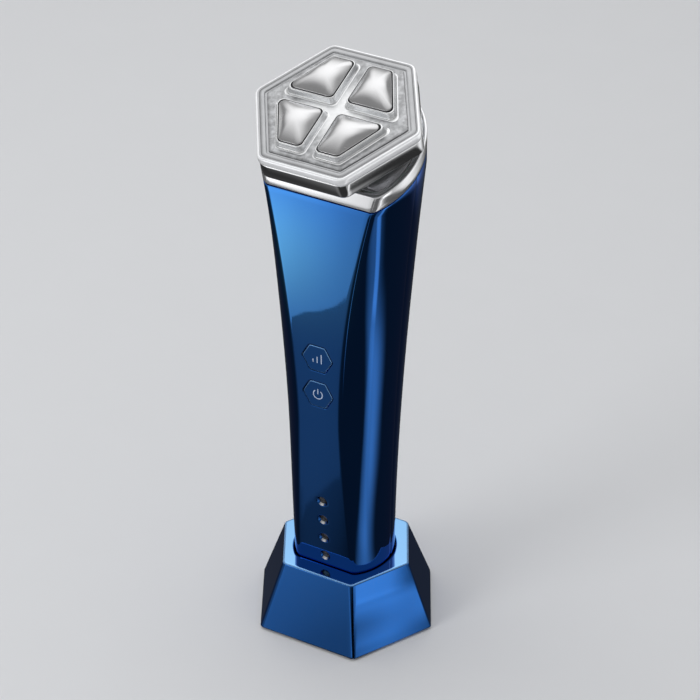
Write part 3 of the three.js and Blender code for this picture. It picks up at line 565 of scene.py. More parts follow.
@once
def collar_metal(r, s):
    """Bright collar with a satin bloom under its polish."""
    return r.grained((700, 3, 0.6), ((0.84, 0.85, 0.87), (0.92, 0.93, 0.95)), (0.08, 0.08), 0.85,
                     (60, 2), (0.000003, 0.4), Coat_Weight=0.5, Coat_Roughness=0.03)


@once
def neck_metal(r, s):
    """Dark turned metal: fine rings from the lathe, seen only as a change of gloss."""
    return r.grained((900, 2, 0.5, (0.4, 0.4, 2.5)), ((0.46, 0.46, 0.48), (0.62, 0.62, 0.64)), (0.12, 0.14),
                     0.75, (90, 2), (0.000006, 0.5))


@once
def electrode_metal(r, s):
    """Polished steel domes with a soft satin haze and a few fine scratches."""
    haze = r.noise(140, 3)
    scratch = r.noise(1500, 2, 0.5, (0.1, 1, 1), (0, 0, 0.6))
    return r.surface(r.blend(haze, *shades(s.satin, 0.94)), haze * 0.08 + scratch * 0.05 + 0.19, 1.0,
                     Normal=r.bump(scratch, 0.000002, 0.4))


def acrylic(r, s, low, high, metal, lit=0.0):
    """Clear acrylic over foil, between two shares of the plate's colour, with a faint haze and a painted glow
    of the given strength."""
    return r.grained((260, 3), shades(s.frost, low, high), (0.12, 0.14), metal, None, (0.00002, 0.3),
                     Coat_Weight=0.8, Coat_Roughness=0.04, Emission_Color=(1, 1, 1, 1), Emission_Strength=lit)


# Painted light: the plate's side is paler than the rest and glows a little (emission 0.17), though it is no
# lamp
@once
def plate_side(r, s):
    return acrylic(r, s, 1.2, 1.45, 0.4, 0.17)


@once
def plate_rim(r, s):
    return acrylic(r, s, 0.55, 0.78, 0.55)


# Painted shade: darker acrylic for the floor and wall of the rim's grooves
@once
def plate_groove(r, s):
    return acrylic(r, s, 0.16, 0.30, 0.6)


@once
def plate_pad(r, s):
    return acrylic(r, s, 1.25, 1.5, 0.75)


@once
def plate_frost(r, s):
    """Frosted layer under clear acrylic: crystal-like mottling, paler in the middle, with dark specks."""
    middle = from_head([0, sizes("head").shift / MM, head_levels()[3]]) * MM
    x, y, _ = r.axes(shift=(-middle[0], -middle[1], 0))
    near = 1 - ((x * x + y * y) ** 0.5).over(0.005, 0.015)
    blotch = r.noise(420, 4, 0.62)
    crystal = r.cells(900)
    specks = r.cells(330).over(0.10, 0.03) * r.noise(95, 1).over(0.56, 0.64)
    mottled = r.blend(blotch.over(0.35, 0.7), *shades(s.frost, 0.45, 0.85))
    pale = r.blend(near * 0.8, mottled, (0.93, 0.94, 0.95))
    return r.surface(
        r.blend(specks * 0.7, pale, (0.16, 0.16, 0.17)), blotch * 0.22 + crystal * 0.16 + 0.16, 0.8,
        Coat_Weight=0.7, Coat_Roughness=0.06, Normal=r.bump(blotch * 0.7 + crystal * 0.5, 0.00008, 0.5))


@once
def symbol_paint(r, s):
    """Thin matt paint, a little uneven."""
    return r.grained((2500, 2), shades(s.print_grey, 0.85), (0.1, 0.35), relief=(0.000005, 0.4))


@once
def light_lens(r, s):
    """Smoked frosted lens over an unlit lamp, cloudy in patches."""
    cloud = r.noise(1400, 3)
    colour = r.blend(cloud.over(0.35, 0.65), (0.010, 0.010, 0.012), (0.06, 0.06, 0.066))
    return r.surface(colour, cloud * 0.1 + 0.25, Normal=r.bump(cloud, 0.00001, 0.3))


@once
def sleeve_metal(r, s):
    """Bright metal only on the lower part of the lip round each light, a painted highlight where a glint
    falls, with faint turning marks.
    """
    return r.grained((900, 2), ((0.88, 0.89, 0.92), (0.96, 0.97, 0.99)), (0.06, 0.05), 1.0)


def moulded(r, colour, rough, scale=900, height=0.00002):
    """Moulded plastic or rubber with a fine spark-eroded grain."""
    return r.grained((scale, 3, 0.6), shades(colour, 0.8, 1.15), (0.16, rough), 0.0, (70, 2), (height, 0.6))


@once
def dark_plastic(r, s):
    return moulded(r, s.black, 0.34)


@once
def grey_plastic(r, s):
    return moulded(r, (0.24, 0.26, 0.29), 0.37)


@once
def rubber(r, s):
    return moulded(r, (0.016, 0.016, 0.018), 0.72, 1300, 0.00004)


@once
def steel(r, s):
    """Zinc-plated steel with a crystalline haze."""
    fine = r.noise(1600, 2)
    return r.surface(r.blend(r.cells(500), (0.42, 0.43, 0.44), (0.62, 0.63, 0.64)), fine * 0.15 + 0.25, 1.0,
                     Normal=r.bump(fine, 0.00001, 0.4))


@once
def gold(r, s):
    """Thin gold over brass."""
    return r.grained((1200, 3), ((0.62, 0.42, 0.13), (0.80, 0.58, 0.22)), (0.12, 0.16), 1.0,
                     relief=(0.000006, 0.4))


@once
def circuit(r, s):
    """Green solder mask with paler tracks under it."""
    tracks = r.add("ShaderNodeTexBrick", {"offset": 0.5}, {
        "Vector": r.place((1, 1, 1), (math.pi / 2, 0, 0)), "Scale": 260.0, "Mortar Size": 0.03,
        "Color1": (0.010, 0.085, 0.035), "Color2": (0.013, 0.105, 0.045), "Mortar": (0.03, 0.19, 0.09)})
    fine = r.noise(900, 2)
    return r.surface(tracks, fine * 0.1 + 0.26, Coat_Weight=0.3, Normal=r.bump(fine, 0.00001, 0.4))


@once
def cell_wrap(r, s):
    """Shrink film on the cell, with small crinkles along it."""
    return r.grained((300, 3, 0.5, (1, 1, 0.2)), ((0.02, 0.10, 0.24), (0.04, 0.16, 0.36)), (0.15, 0.22),
                     relief=(0.00006, 0.5), Coat_Weight=0.4)


# Stand
CORNER_STEPS, SIDE_STEPS = 8, 32
BACK_SIDE = 3 * (CORNER_STEPS + SIDE_STEPS) + CORNER_STEPS
WIDE_ROUND, SIDE_ROUND, INNER_ROUND = 2.2, 1.2, 0.8
TOP_EDGE = 0.55
FACE_SHARES = (0.08, 0.35, 0.65, 0.92)


def stand_halves(z):
    """Half of the front edge, of the width and of the depth at a height, in straight lines from the foot."""
    s = sizes("stand")
    share = (z - s.skirt / MM) / ((s.top - s.skirt) / MM)
    pairs = ((s.foot_front, s.top_front), (s.foot_width, s.top_width), (s.foot_depth, s.top_depth))
    return [(foot + (top - foot) * share) / MM / 2 for foot, top in pairs]


def back_face(z):
    """Where the stand's back face is along Y, at each height."""
    return stand_halves(z)[2]


def stand_ring(z, distance, corner=None):
    """The six corners at a height, moved inwards by the distance. Each arc and each straight side has a fixed
    number of points, so that all rings match."""
    front, side, depth = stand_halves(z)
    corners = [[-front, -depth], [front, -depth], [side, 0], [front, depth], [-front, depth], [-side, 0]]
    radius = np.array([corner, corner, corner] * 2 if corner else [WIDE_ROUND, WIDE_ROUND, SIDE_ROUND] * 2)
    arcs = rounded_polygon(moved_in(corners, distance), radius, CORNER_STEPS).reshape(6, CORNER_STEPS + 1, 2)
    start, end = arcs[:, -1:], np.roll(arcs, -1, 0)[:, :1]
    share = (np.arange(1, SIDE_STEPS) / SIDE_STEPS)[None, :, None]
    return flat_ring(np.concatenate([arcs, start + (end - start) * share], 1).reshape(-1, 2), z)


def pocket_ring(z, distance):
    """The pocket's outline, read in the same directions as the points of the stand's top edge."""
    section = whole_loop(half_section(min(z, sizes("handle").low / MM), distance))[:, :2]
    edge = stand_ring(sizes("stand").top / MM, 0)
    return flat_ring(toward(resampled(section, step=0.1), np.arctan2(edge[:, 1], edge[:, 0])), z)


def between(first, second, shares):
    return [first + (second - first) * share for share in shares]


def inlet_rows():
    """Heights of the rows below, across and above the inlet's opening."""
    low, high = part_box("usb_socket")
    return np.linspace(low.z / MM - 1.6, high.z / MM + 2.2, 9)


def stand_rings():
    """The shell's outer side from its foot up, over a small round and the top face and down to the pocket's
    edge, its inner side in the same order, and the rows where the top's round, its face and the pocket's edge
    begin."""
    s = sizes("stand")
    low, top, gap, wall = s.skirt / MM, s.top / MM, s.pocket_gap / MM, s.wall / MM
    roof = top - wall
    heights = inlet_rows()
    side = [stand_ring(low + up, inset) for up, inset in ((0, 0.25), (0.08, 0.08), (0.25, 0), (0.45, 0))]
    side += [stand_ring(z, 0) for z in (*heights, (heights[-1] + top) / 2, top - TOP_EDGE - 0.06)]
    lower = len(side) - 1
    side += [stand_ring(top - TOP_EDGE * (1 - math.sin(a)), TOP_EDGE * (1 - math.cos(a))) for a in quarter(5)]
    rim = [pocket_ring(top, -gap - 0.45), pocket_ring(top - 0.08, -gap - 0.15), pocket_ring(top - 0.35, -gap)]
    inner = [stand_ring(low, wall - 0.2), *(stand_ring(low + z, wall) for z in (0.08, 0.25, 0.45))]
    inner += [stand_ring(z, wall) for z in (*heights, (heights[-1] + roof) / 2, roof - 0.2)]
    inner += [stand_ring(roof - 0.01 * (5 - k), wall, INNER_ROUND) for k in range(5)]
    last = pocket_ring(roof, -gap)
    inner += between(inner[-1], last, (*FACE_SHARES, 0.95, 0.98)) + [last]
    borders = (lower + 2, len(side) - 1, len(side) + len(FACE_SHARES))
    return np.array(side + between(side[-1], rim[0], FACE_SHARES) + rim), np.array(inner), borders


class MASSAGER_OT_stand(bpy.types.Operator):
    """Makes the stand's plated shell, with an opening for the charging inlet at the back"""
    bl_idname = "massager.stand"
    bl_label = "Stand"

    def execute(self, context):
        outer, inner, borders = stand_rings()
        low, high = (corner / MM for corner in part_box("usb_socket"))
        across, tall = (high.x - low.x) / 2 + 0.25, (high.z - low.z) / 2 + 0.25
        corners = [[-across, -tall], [across, -tall], [across, tall], [-across, tall]]
        outline = rounded_polygon(corners, tall * 0.92, 8)
        rows = (4, 3 + len(inlet_rows()))
        columns = (BACK_SIDE + 4, BACK_SIDE + SIDE_STEPS - 4)
        hole = ((low.z + high.z) / 2, outline, rows, columns, 0.3)
        wall = sizes("stand").wall / MM
        points, faces = thickened(*with_holes(outer, inner, [hole], wall, back_face, -1, wrap=True))
        row = np.array([face[0] for face in faces]) // outer.shape[1]
        # Zones: the sides and the pocket's edge in blue plating; the top's round takes the pale edge finish
        # and the top face the paler top finish, both painted highlights
        zones = np.select([row < borders[0], row < borders[1], row < borders[2]], [0, 2, 1], 0)
        make_piece("stand_plating", points, faces, "stand", "blue_plating",
                   [blue_plating, top_plating, edge_plating], ["stand_shell"], zones)
        return {"FINISHED"}


# Grip shells
BUTTON_LEVELS = (117.4, 102.7)
LIGHT_LEVELS = tuple(56.0 - 8.37 * i for i in range(4))
BUTTON_BAND, LIGHT_BAND = 14.7, 8.37
BUTTON_ROWS, LIGHT_ROWS, LIGHT_POINTS = 24, 16, 48
SLANT_LEVEL, SEAM_GAP, BUTTON_LIP = 170.0, 0.05, 0.22


def grip_levels():
    """Heights of the shells' rows: fine where the flat face has a hole, and about 3 mm apart elsewhere."""
    foot = sizes("handle").foot / MM
    lights, keys = LIGHT_LEVELS[-1] - LIGHT_BAND / 2, BUTTON_LEVELS[1] - BUTTON_BAND / 2
    levels = [foot, foot + 0.15, foot + 0.5]
    for end, rows in ((lights, 6), (lights + LIGHT_BAND * 4, 4 * LIGHT_ROWS), (keys, 13),
                      (keys + 2 * BUTTON_BAND, 2 * BUTTON_ROWS), (SLANT_LEVEL, 17)):
        levels += list(np.linspace(levels[-1], end, rows + 1)[1:])
    return np.array(levels)


def grip_grid(distance, columns, sink, seam):
    """Points of half a shell, row by row: level rows up to 170 mm, and above it rows that turn into the
    slanted cut. The ends and the seam sink in a little, which rounds them."""
    levels = grip_levels()
    all_columns = SEAM_COLUMN + BACK_COLUMNS + 1
    top = on_plane(-0.3, distance)[:, 2]
    steps = np.array([0.25, 0.5, 0.75, 0.95, 0.985, 1.0])
    z = np.vstack([np.broadcast_to(levels[:, None], (len(levels), all_columns)),
                   SLANT_LEVEL + (top - SLANT_LEVEL) * steps[:, None]])
    drop = np.zeros(len(z))
    drop[[0, 1, -1, -2]] = np.array([0.35, 0.12, 0.3, 0.06]) * sink
    spread = distance + drop[:, None] + np.zeros(all_columns)
    spread[:, SEAM_COLUMN] += 0.16 * sink
    return half_section(z, spread, seam)[:, columns]


def block_patch(outer, centre, outline, rows, cols, width, rim, wall, face, inward):
    """A patch with a hole for a block of the grid. Each point on the block's edge is joined to the point of
    the hole's outline in the same direction, with a small rounded lip at the hole. Returns the new points of
    both sides, the numbers of the points on the block's edge, and how many rings the patch has."""
    (r0, r1), (c0, c1) = rows, cols
    row = np.r_[np.full(c1 - c0, r0), r0:r1, np.full(c1 - c0, r1), r1:r0:-1]
    column = np.r_[c0:c1, np.full(r1 - r0, c1), c1:c0:-1, np.full(r1 - r0, c0)]
    index = row * width + column
    away = outer[index][:, [0, 2]] - [0, centre]
    hole = toward(resampled(outline, step=0.05), np.arctan2(away[:, 1], away[:, 0]))
    reach = np.linalg.norm(hole, axis=1, keepdims=True)
    plan = [hole * (1 + rim * (1 - math.cos(a)) / reach) for a in quarter(6)]
    plan += between(plan[-1], away, (0.12, 0.35, 0.65))
    sunk = np.array([rim * (1 - math.sin(a)) for a in quarter(6)] + [0.0] * 3)[:, None]
    plan = np.array(plan)
    height = plan[..., 1] + centre
    skin, back = (np.stack([plan[..., 0], face(height) + inward * depth, height], -1).reshape(-1, 3)
                  for depth in (sunk, wall))
    return skin, back, index, len(plan)


def with_holes(outer, inner, holes, wall, face=flat_face, inward=1, wrap=False):
    """A shell's sheet, with its blocks replaced by patches that have a hole. A patch ends at its block's
    edge."""
    rows, width = outer.shape[:2]
    quads = grid_faces(rows, width, wrap_cols=wrap).reshape(rows - 1, -1, 4)
    keep = np.ones(quads.shape[:2], bool)
    skins, backs, extra = [outer.reshape(-1, 3)], [inner.reshape(-1, 3)], []
    base = len(skins[0])
    for centre, outline, (r0, r1), (c0, c1), rim in holes:
        keep[r0:r1, c0:c1] = False
        points, behind, index, rings = block_patch(
            skins[0], centre, outline, (r0, r1), (c0, c1), width, rim, wall, face, inward)
        net = np.vstack([base + np.arange(rings * len(index)).reshape(rings, -1), index[None]])
        net = np.hstack([net, net[:, :1]])
        extra.append(np.stack([net[:-1, :-1], net[1:, :-1], net[1:, 1:], net[:-1, 1:]], -1).reshape(-1, 4))
        skins.append(points)
        backs.append(behind)
        base += len(points)
    return np.concatenate(skins), np.concatenate(backs), np.concatenate([quads[keep], *extra])


class MASSAGER_OT_grip(bpy.types.Operator):
    """Makes the front shell with its button and light openings, and the rear shell"""
    bl_idname = "massager.grip"
    bl_label = "Grip shells"

    def execute(self, context):
        wall = sizes("handle").wall / MM
        sides = ((0, 1), (wall, 0))
        front = [grip_grid(distance, slice(0, SEAM_COLUMN + 1), sink, -SEAM_GAP) for distance, sink in sides]
        outer, inner = (np.concatenate([side[:, :0:-1] * FLIP, side], 1) for side in front)
        points, faces = thickened(*with_holes(outer, inner, self.holes(), wall))
        make_piece("front_plating", points, faces, "handle", "blue_plating", [blue_plating], ["front_shell"])
        rear = [grip_grid(distance, slice(SEAM_COLUMN, None), sink, SEAM_GAP) for distance, sink in sides]
        outer, inner = (np.concatenate([side, side[:, -2::-1] * FLIP], 1) for side in rear)
        quads = grid_faces(*outer.shape[:2])
        points, faces = thickened(outer.reshape(-1, 3), inner.reshape(-1, 3), quads)
        make_piece("rear_plating", points, faces, "handle", "blue_plating", [blue_plating], ["rear_shell"])
        return {"FINISHED"}

    def holes(self):
        """Each hole's height, outline, block of rows and columns, and width of its lip."""
        s = sizes("handle")
        button = rounded_polygon(
            hexagon((s.button_width + 2 * s.button_gap) / MM), (s.button_round + s.button_gap) / MM)
        light = circle(64) * (s.light_radius / MM + 0.1)
        columns = (SEAM_COLUMN - FACET_COLUMNS, SEAM_COLUMN + FACET_COLUMNS)
        levels = grip_levels()

        def block(heights, outline, band, rim):
            rows = [[int(np.argmin(abs(levels - z - side * band / 2))) for side in (-1, 1)] for z in heights]
            return [(z, outline, pair, columns, rim) for z, pair in zip(heights, rows)]

        return (block(BUTTON_LEVELS, button, BUTTON_BAND, BUTTON_LIP)
                + block(LIGHT_LEVELS, light, LIGHT_BAND, s.light_edge / MM))


# Buttons and indicator lights
def upright(outline, depth, z):
    """An outline drawn on the flat face: its first axis along X, its second along Z."""
    return np.stack([outline[:, 0], np.full(len(outline), depth), outline[:, 1] + z], -1)


def button_rings(z):
    """From the flange behind the wall to the face: a small round at the edge, then a face dished a hair."""
    s = sizes("handle")
    face = float(flat_face(z))
    width, corner = s.button_width / MM, s.button_round / MM
    behind = face + s.wall / MM + 0.3
    edge = 0.28

    def ring(inset, depth, more=0.0):
        outline = rounded_polygon(hexagon(width + 2 * more - 2 * inset), max(corner - inset, 0.2))
        return upright(outline, depth, z)

    rings = [ring(0, behind + 1.0, 1.0), ring(0, behind, 1.0), ring(0, behind - 0.05)]
    rings += [ring(edge * (1 - math.cos(a)), face + edge * (1 - math.sin(a))) for a in quarter(5)]
    rim, middle = rings[-1], np.array([0, face, z])
    for share in (0.97, 0.8, 0.5, 0.25, 0.06):
        small = middle + (rim - middle) * share
        small[:, 1] = face + 0.03 * (1 - share ** 2)
        rings.append(small)
    return rings, face


def ribbon(path, width, face, z):
    """A flat stroke on a button: the path is widened to both sides, and runs down into the face."""
    along = np.gradient(path, axis=0)
    along /= np.linalg.norm(along, axis=1, keepdims=True)
    side = np.stack([-along[:, 1], along[:, 0]], -1) * width / 2
    rows = [(path + side, face + 0.3), (path + side, face), (path - side, face), (path - side, face + 0.3)]
    points = np.stack([upright(outline, depth, z) for outline, depth in rows], 1)
    return stacked(points)


def power_symbol():
    """A ring that is open at its top, and a short upright bar."""
    turn = np.radians(np.linspace(125, 415, 40))
    return [np.stack([np.cos(turn), np.sin(turn)], -1) * 1.75, bar(0.0, 0.15, 2.25)]


def level_symbol():
    """Three upright bars, each taller than the last."""
    return [bar(x, -1.6, top) for x, top in ((-1.6, -0.3), (0.0, 0.9), (1.6, 2.1))]


def bar(x, low, high):
    return np.stack([np.full(8, x), np.linspace(low, high, 8)], -1)


class MASSAGER_OT_buttons(bpy.types.Operator):
    """Makes the two six-sided buttons with a plain symbol on each"""
    bl_idname = "massager.buttons"
    bl_label = "Buttons"

    def execute(self, context):
        for z, kind, symbol in zip(BUTTON_LEVELS, ("level", "power"), (level_symbol, power_symbol)):
            rings, face = button_rings(z)
            points, faces = stacked(rings)
            around = len(rings[0])
            zones = np.zeros(len(faces), int)
            # Painted highlight: the rows of the round at each button's edge take the pale edge finish
            zones[4 * around:7 * around] = 1
            node, body = kind + "_button", kind + "_key"
            make_piece(node + "_cap", points, faces, body, "blue_plating", [blue_plating, edge_plating],
                       [node], zones, crease=40)
            strokes = joined([ribbon(path, 0.36, face, z) for path in symbol()])
            make_piece(node + "_symbol", *strokes, body, "grey_plastic", [symbol_paint])
        return {"FINISHED"}


class MASSAGER_OT_lights(bpy.types.Operator):
    """Makes the four indicator lights: a smoked domed lens at the bottom of a short sleeve, with a painted
    glint of bright metal low on its lip and a dark ring of painted shade round the lens
    """
    bl_idname = "massager.lights"
    bl_label = "Indicator lights"

    def execute(self, context):
        s = sizes("handle")
        radius, around = s.light_radius / MM, LIGHT_POINTS
        lens = radius - 0.50
        for i, z in enumerate(LIGHT_LEVELS):
            face = float(flat_face(z))
            behind = face + s.wall / MM + 0.3
            mouth = face + s.light_edge / MM - 0.06
            floor = mouth + s.light_depth / MM
            rings = [(radius + 0.3, behind + 0.8), (radius + 0.3, behind), (radius, behind), (radius, mouth)]
            rings += [(radius - 0.03, mouth - 0.02), (radius - 0.05, mouth + 0.02), (lens + 0.16, floor)]
            rings += [(lens + 0.10, floor + 0.08), (lens, floor)]
            rings += [(lens * math.cos(a), floor - 0.2 * math.sin(a)) for a in np.linspace(0.15, 1.5, 9)]
            lift = [0.0] * 6 + [0.26] * (len(rings) - 6)
            points, faces = stacked(
                [upright(circle(around) * reach, depth, z + up) for (reach, depth), up in zip(rings, lift)])
            zones = np.zeros(len(faces), int)
            zones[2 * around:6 * around] = 3
            # Painted highlight: bright metal on the lower part of the lip only, where a glint falls
            for row in (4, 5):
                zones[row * around + 31:row * around + 41] = 1
            # Painted shade: a dark rubber ring on the hole's floor round the lens
            zones[6 * around:8 * around] = 2
            node = f"indicator_light_{i + 1}"
            make_piece(node + "_lens", points, faces, "handle", "light_lens",
                       [light_lens, sleeve_metal, rubber, blue_plating], [node], zones, crease=40)
        return {"FINISHED"}


# Collar and neck
class MASSAGER_OT_neck(bpy.types.Operator):
    """Makes the bright collar and the dark dished neck inside it"""
    bl_idname = "massager.neck"
    bl_label = "Collar and neck"

    def execute(self, context):
        s = sizes("head")
        top, wall, edge = s.collar / MM, s.collar_wall / MM, 0.3
        levels = [(0.0, 0.25), (0.08, 0.07), (0.25, 0), (top * 0.35, 0), (top * 0.7, 0)]
        levels += [(top - edge * (1 - math.sin(a)), edge * (1 - math.cos(a))) for a in quarter(5)]
        levels += [(top, wall - edge), (top - 0.09, wall - 0.09), (top - edge, wall), (top * 0.5, wall)]
        levels += [(0.0, wall)]
        points, faces = stacked([whole_loop(on_plane(*level)) for level in levels], wrap=True)
        make_piece("collar_band", points, faces, "handle", "chrome_plating", [collar_metal], ["collar"])
        points, faces = stacked(self.neck(top, wall), wrap=True)
        make_piece("neck_turning", points, faces, "handle", "dark_plastic", [neck_metal], ["neck_dish"],
                   crease=40)
        return {"FINISHED"}

    def neck(self, top, wall):
        """Rings from the bore up the column, down its side and out over the dish to the collar's inside."""
        c, s, origin = head_axes()
        local = whole_loop(on_plane(top - 0.9, wall + 0.3)) - origin
        v = local[:, 1] * c + local[:, 2] * s
        direction, reach = np.arctan2(v, local[:, 0]), np.hypot(local[:, 0], v)
        bore, column, floor, high = 8.5, 13.5, top - 0.7, head_levels()[0] - 0.3
        rings = [(bore, floor - 3.6), (bore, high), (13.1, high), (column, high - 0.4), (column, floor + 1.2)]
        rings += [(13.6, floor + 0.45), (13.9, floor - 0.1), (14.4, floor - 0.5)]
        for share in (0.2, 0.35, 0.5, 0.65, 0.8, 0.92, 1.0):
            dish = floor - 0.5 - 0.9 * math.sin(math.pi * share) + 0.9 * share ** 3
            rings.append((column + (reach - column) * share, dish))
        rings += [(reach, floor - 2.0), (reach, floor - 3.6)]
        around = np.stack([np.cos(direction), np.sin(direction)], -1)
        return [from_head(flat_ring(around * np.reshape(out, (-1, 1)), level)) for out, level in rings]


# Head
HEAD_POINTS, ELECTRODE_POINTS = 216, 160
HEAD_LIFT, PLATE_GAP = 5.3, 0.3
ELECTRODES = (("back_right", 1, 1), ("back_left", -1, 1), ("front_left", -1, -1), ("front_right", 1, -1))
CROSS, REACH, DEPTH, TOP_HALF, ELECTRODE_ROUND, PAD_RIM = 2.2, 20.6, 20.0, 11.3, 1.8, 0.74


def shifted(ring):
    """A ring of the head's own frame in the row frame, at the head's place on the neck."""
    return from_head(ring + [0, sizes("head").shift / MM, 0])


def head_ring(corner, distance, level):
    """The head's rounded hexagon at a level, in the row frame."""
    radius = max(sizes("head").corner_round / MM - distance, 0.5)
    outline = rounded_polygon(moved_in(hexagon(2 * corner), distance), radius, 10)
    turn = np.arange(HEAD_POINTS) * 2 * math.pi / HEAD_POINTS
    return shifted(flat_ring(toward(resampled(outline, step=0.2), turn), level))


def head_levels():
    """Heights over the tilted plane: the housing's underside and top, and the plate's underside and top."""
    s = sizes("head")
    low = s.collar / MM + HEAD_LIFT
    top = low + s.housing / MM
    return low, top, top + PLATE_GAP, top + PLATE_GAP + s.plate_side / MM


def electrode_ring(su, sv, distance, level):
    """A quarter of the hexagon, moved in by the distance, in the head's own frame."""
    corners = np.array([[CROSS, CROSS], [REACH, CROSS], [TOP_HALF, DEPTH], [CROSS, DEPTH]])
    corners = (corners if su * sv > 0 else corners[::-1]) * [su, sv]
    outline = rounded_polygon(moved_in(corners, distance), ELECTRODE_ROUND, 10)
    return flat_ring(resampled(outline, ELECTRODE_POINTS), level)


class MASSAGER_OT_head(bpy.types.Operator):
    """Makes the bright housing and the light plate with its ridged rim"""
    bl_idname = "massager.head"
    bl_label = "Housing and plate"

    def execute(self, context):
        s = sizes("head")
        low, top, plate_low, plate_top = head_levels()
        deep = low + 1.4
        skin = [(8.5, low), (1.3, low), (0.9, low + 0.03), (0.55, low + 0.15), (0.25, low + 0.38)]
        skin += [(0.06, low + 0.7), (0, low + 1.0), (0, low + 3.0), (0, top - 0.5), (0.05, top - 0.25)]
        skin += [(0.18, top - 0.08), (0.4, top), (2.8, top), (2.8, deep), (8.5, deep)]
        points, faces = stacked([head_ring(s.corner / MM, *row) for row in skin], wrap=True)
        make_piece("housing_shell", points, faces, "handle", "chrome_plating", [chrome_plating],
                   ["head_housing"])
        self.plate(s, plate_low, plate_top)
        return {"FINISHED"}

    def plate(self, s, low, top):
        """The plate from its underside, up its side and over two ridges to the frosted field, and a pad for
        each electrode: its wall leans in a little, with a hollow round at its foot and a small round at its
        top. A row is the distance in from the outline and the height."""
        corner = (s.corner + s.overhang) / MM
        lip = s.lip / MM
        side = [(24.0, low), (0.7, low), (0.3, low + 0.06), (0.08, low + 0.25), (0, low + 0.5)]
        side += [(0, low + 1.3), (0.02, top - 0.75), (0.1, top - 0.42), (0.25, top - 0.18), (0.5, top - 0.04)]
        side += [(0.8, top)]
        ridges = [(1.25, top), (1.4, top - 0.14), (1.6, top - 0.14), (1.75, top), (2.6, top)]
        ridges += [(lip - 0.3, top - 0.03), (lip - 0.02, top - 0.16), (lip + 0.06, top - 0.45)]
        ridges += [(lip + 0.7, top - 0.45), (lip + 0.8, top - 0.12)]
        field = [(lip + 0.95, top), (lip + 2.0, top), (9.0, top), (14.0, top), (19.0, top), (24.0, top)]
        profile = side + ridges + field
        points, faces = stacked([head_ring(corner, *row) for row in profile])
        zones = np.full(len(faces), 1)
        zones[:(len(side) + len(ridges) - 1) * HEAD_POINTS] = 3
        zones[:(len(side) - 1) * HEAD_POINTS] = 0
        # Painted shade: the floor of the first groove and the wall of the second take the darker groove
        # finish
        for row in (len(side) + 1, len(side) + len(ridges) - 2):
            zones[row * HEAD_POINTS:(row + 1) * HEAD_POINTS] = 5
        zones[-2] = 0
        parts, marks = [(points, faces)], [zones]
        high = top + s.pad / MM
        wall = [(-0.2, top - 0.3), (-1.0, top - 0.02), (-0.75, top + 0.03), (-0.5, top + 0.14)]
        wall += [(-0.33, top + 0.34), (-0.25, top + 0.65), (-0.08, high - 0.8), (0, high - 0.35)]
        wall += [(0.04, high - 0.18), (0.14, high - 0.05), (0.26, high), (0.34, high - 0.02)]
        wall += [(0.38, high - 0.08), (0.38, high - 0.3)]
        for _, su, sv in ELECTRODES:
            parts.append(stacked([shifted(electrode_ring(su, sv, *row)) for row in wall]))
            zones = np.full(len(parts[-1][1]), 2)
            # Painted shade: the foot of each pad's inner wall, in the gap round the electrode, is dark rubber
            zones[-ELECTRODE_POINTS - 2:] = 4
            marks.append(zones)
        make_piece("light_plate_cover", *joined(parts), "handle", "clear_cover",
                   [plate_side, plate_frost, plate_pad, plate_rim, rubber, plate_groove],
                   ["light_plate"], np.concatenate(marks), crease=50)


class MASSAGER_OT_electrodes(bpy.types.Operator):
    """Makes the four pillow-shaped electrodes that sit in the plate's pads"""
    bl_idname = "massager.electrodes"
    bl_label = "Electrodes"

    def execute(self, context):
        s = sizes("head")
        high = head_levels()[3] + s.pad / MM
        for name, su, sv in ELECTRODES:
            points, faces = stacked([shifted(ring) for ring in self.pillow(su, sv, high, s.dome / MM)])
            make_piece(f"electrode_{name}_dome", points, faces, "handle", "satin_metal", [electrode_metal],
                       [f"electrode_{name}"], crease=60)
        return {"FINISHED"}

    def pillow(self, su, sv, high, dome):
        """A short upright foot, then rings drawn in towards the stud. The rise is one less a power of the
        ring's share, and the rings turn from the outline into circles on the way, so that the ridges at the
        corners die away."""
        foot = electrode_ring(su, sv, PAD_RIM, high)
        middle = foot[:, :2].mean(0)
        out = foot[:, :2] - middle
        reach = np.linalg.norm(out, axis=1, keepdims=True)
        round_out = out / reach * reach.mean()
        share = np.concatenate([[1.0, 1.0, 0.996, 0.985], np.linspace(0.965, 0.1, 32), [0.04]])
        rise = 0.29 + (dome - 0.14) * (1 - (share / 0.985) ** 2.2)
        rise[:4] = -0.4, 0.1, 0.2, 0.29
        mix = 0.85 * smooth((1 - share) / 0.8)[:, None, None]
        plan = middle + share[:, None, None] * (out * (1 - mix) + round_out * mix)
        return np.concatenate([plan, high + rise[:, None, None] + np.zeros((1, len(foot), 1))], -1)


# Pieces that keep their solid
KEPT = {
    dark_plastic: "stand_cup base_plate bottom_cap level_plunger power_plunger level_switch power_switch",
    rubber: "foot_pad motor_boot",
    steel: "ballast_plate usb_socket base_screw_1 base_screw_2 base_screw_3 base_screw_4 "
           "motor_can motor_weight",
    gold: "pogo_barrel_left pogo_barrel_right pogo_pin_left pogo_pin_right "
          "contact_pad_left contact_pad_right ribbon_cable electrode_nut_back_right "
          "electrode_nut_back_left electrode_nut_front_left electrode_nut_front_right",
    circuit: "charging_board main_board led_board",
    cell_wrap: "battery",
    grey_plastic: "chassis",
}


class MASSAGER_OT_inside(bpy.types.Operator):
    """Gives the solids that stay as they are their finishes"""
    bl_idname = "massager.inside"
    bl_label = "Kept solids"

    def execute(self, context):
        for finish, nodes in KEPT.items():
            for node in nodes.split():
                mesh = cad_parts[node].data
                mesh.materials.clear()
                mesh.materials.append(finish())
        return {"FINISHED"}


# Stage
STAGE_HALF, CARD_HEIGHT = 4.0, 0.13


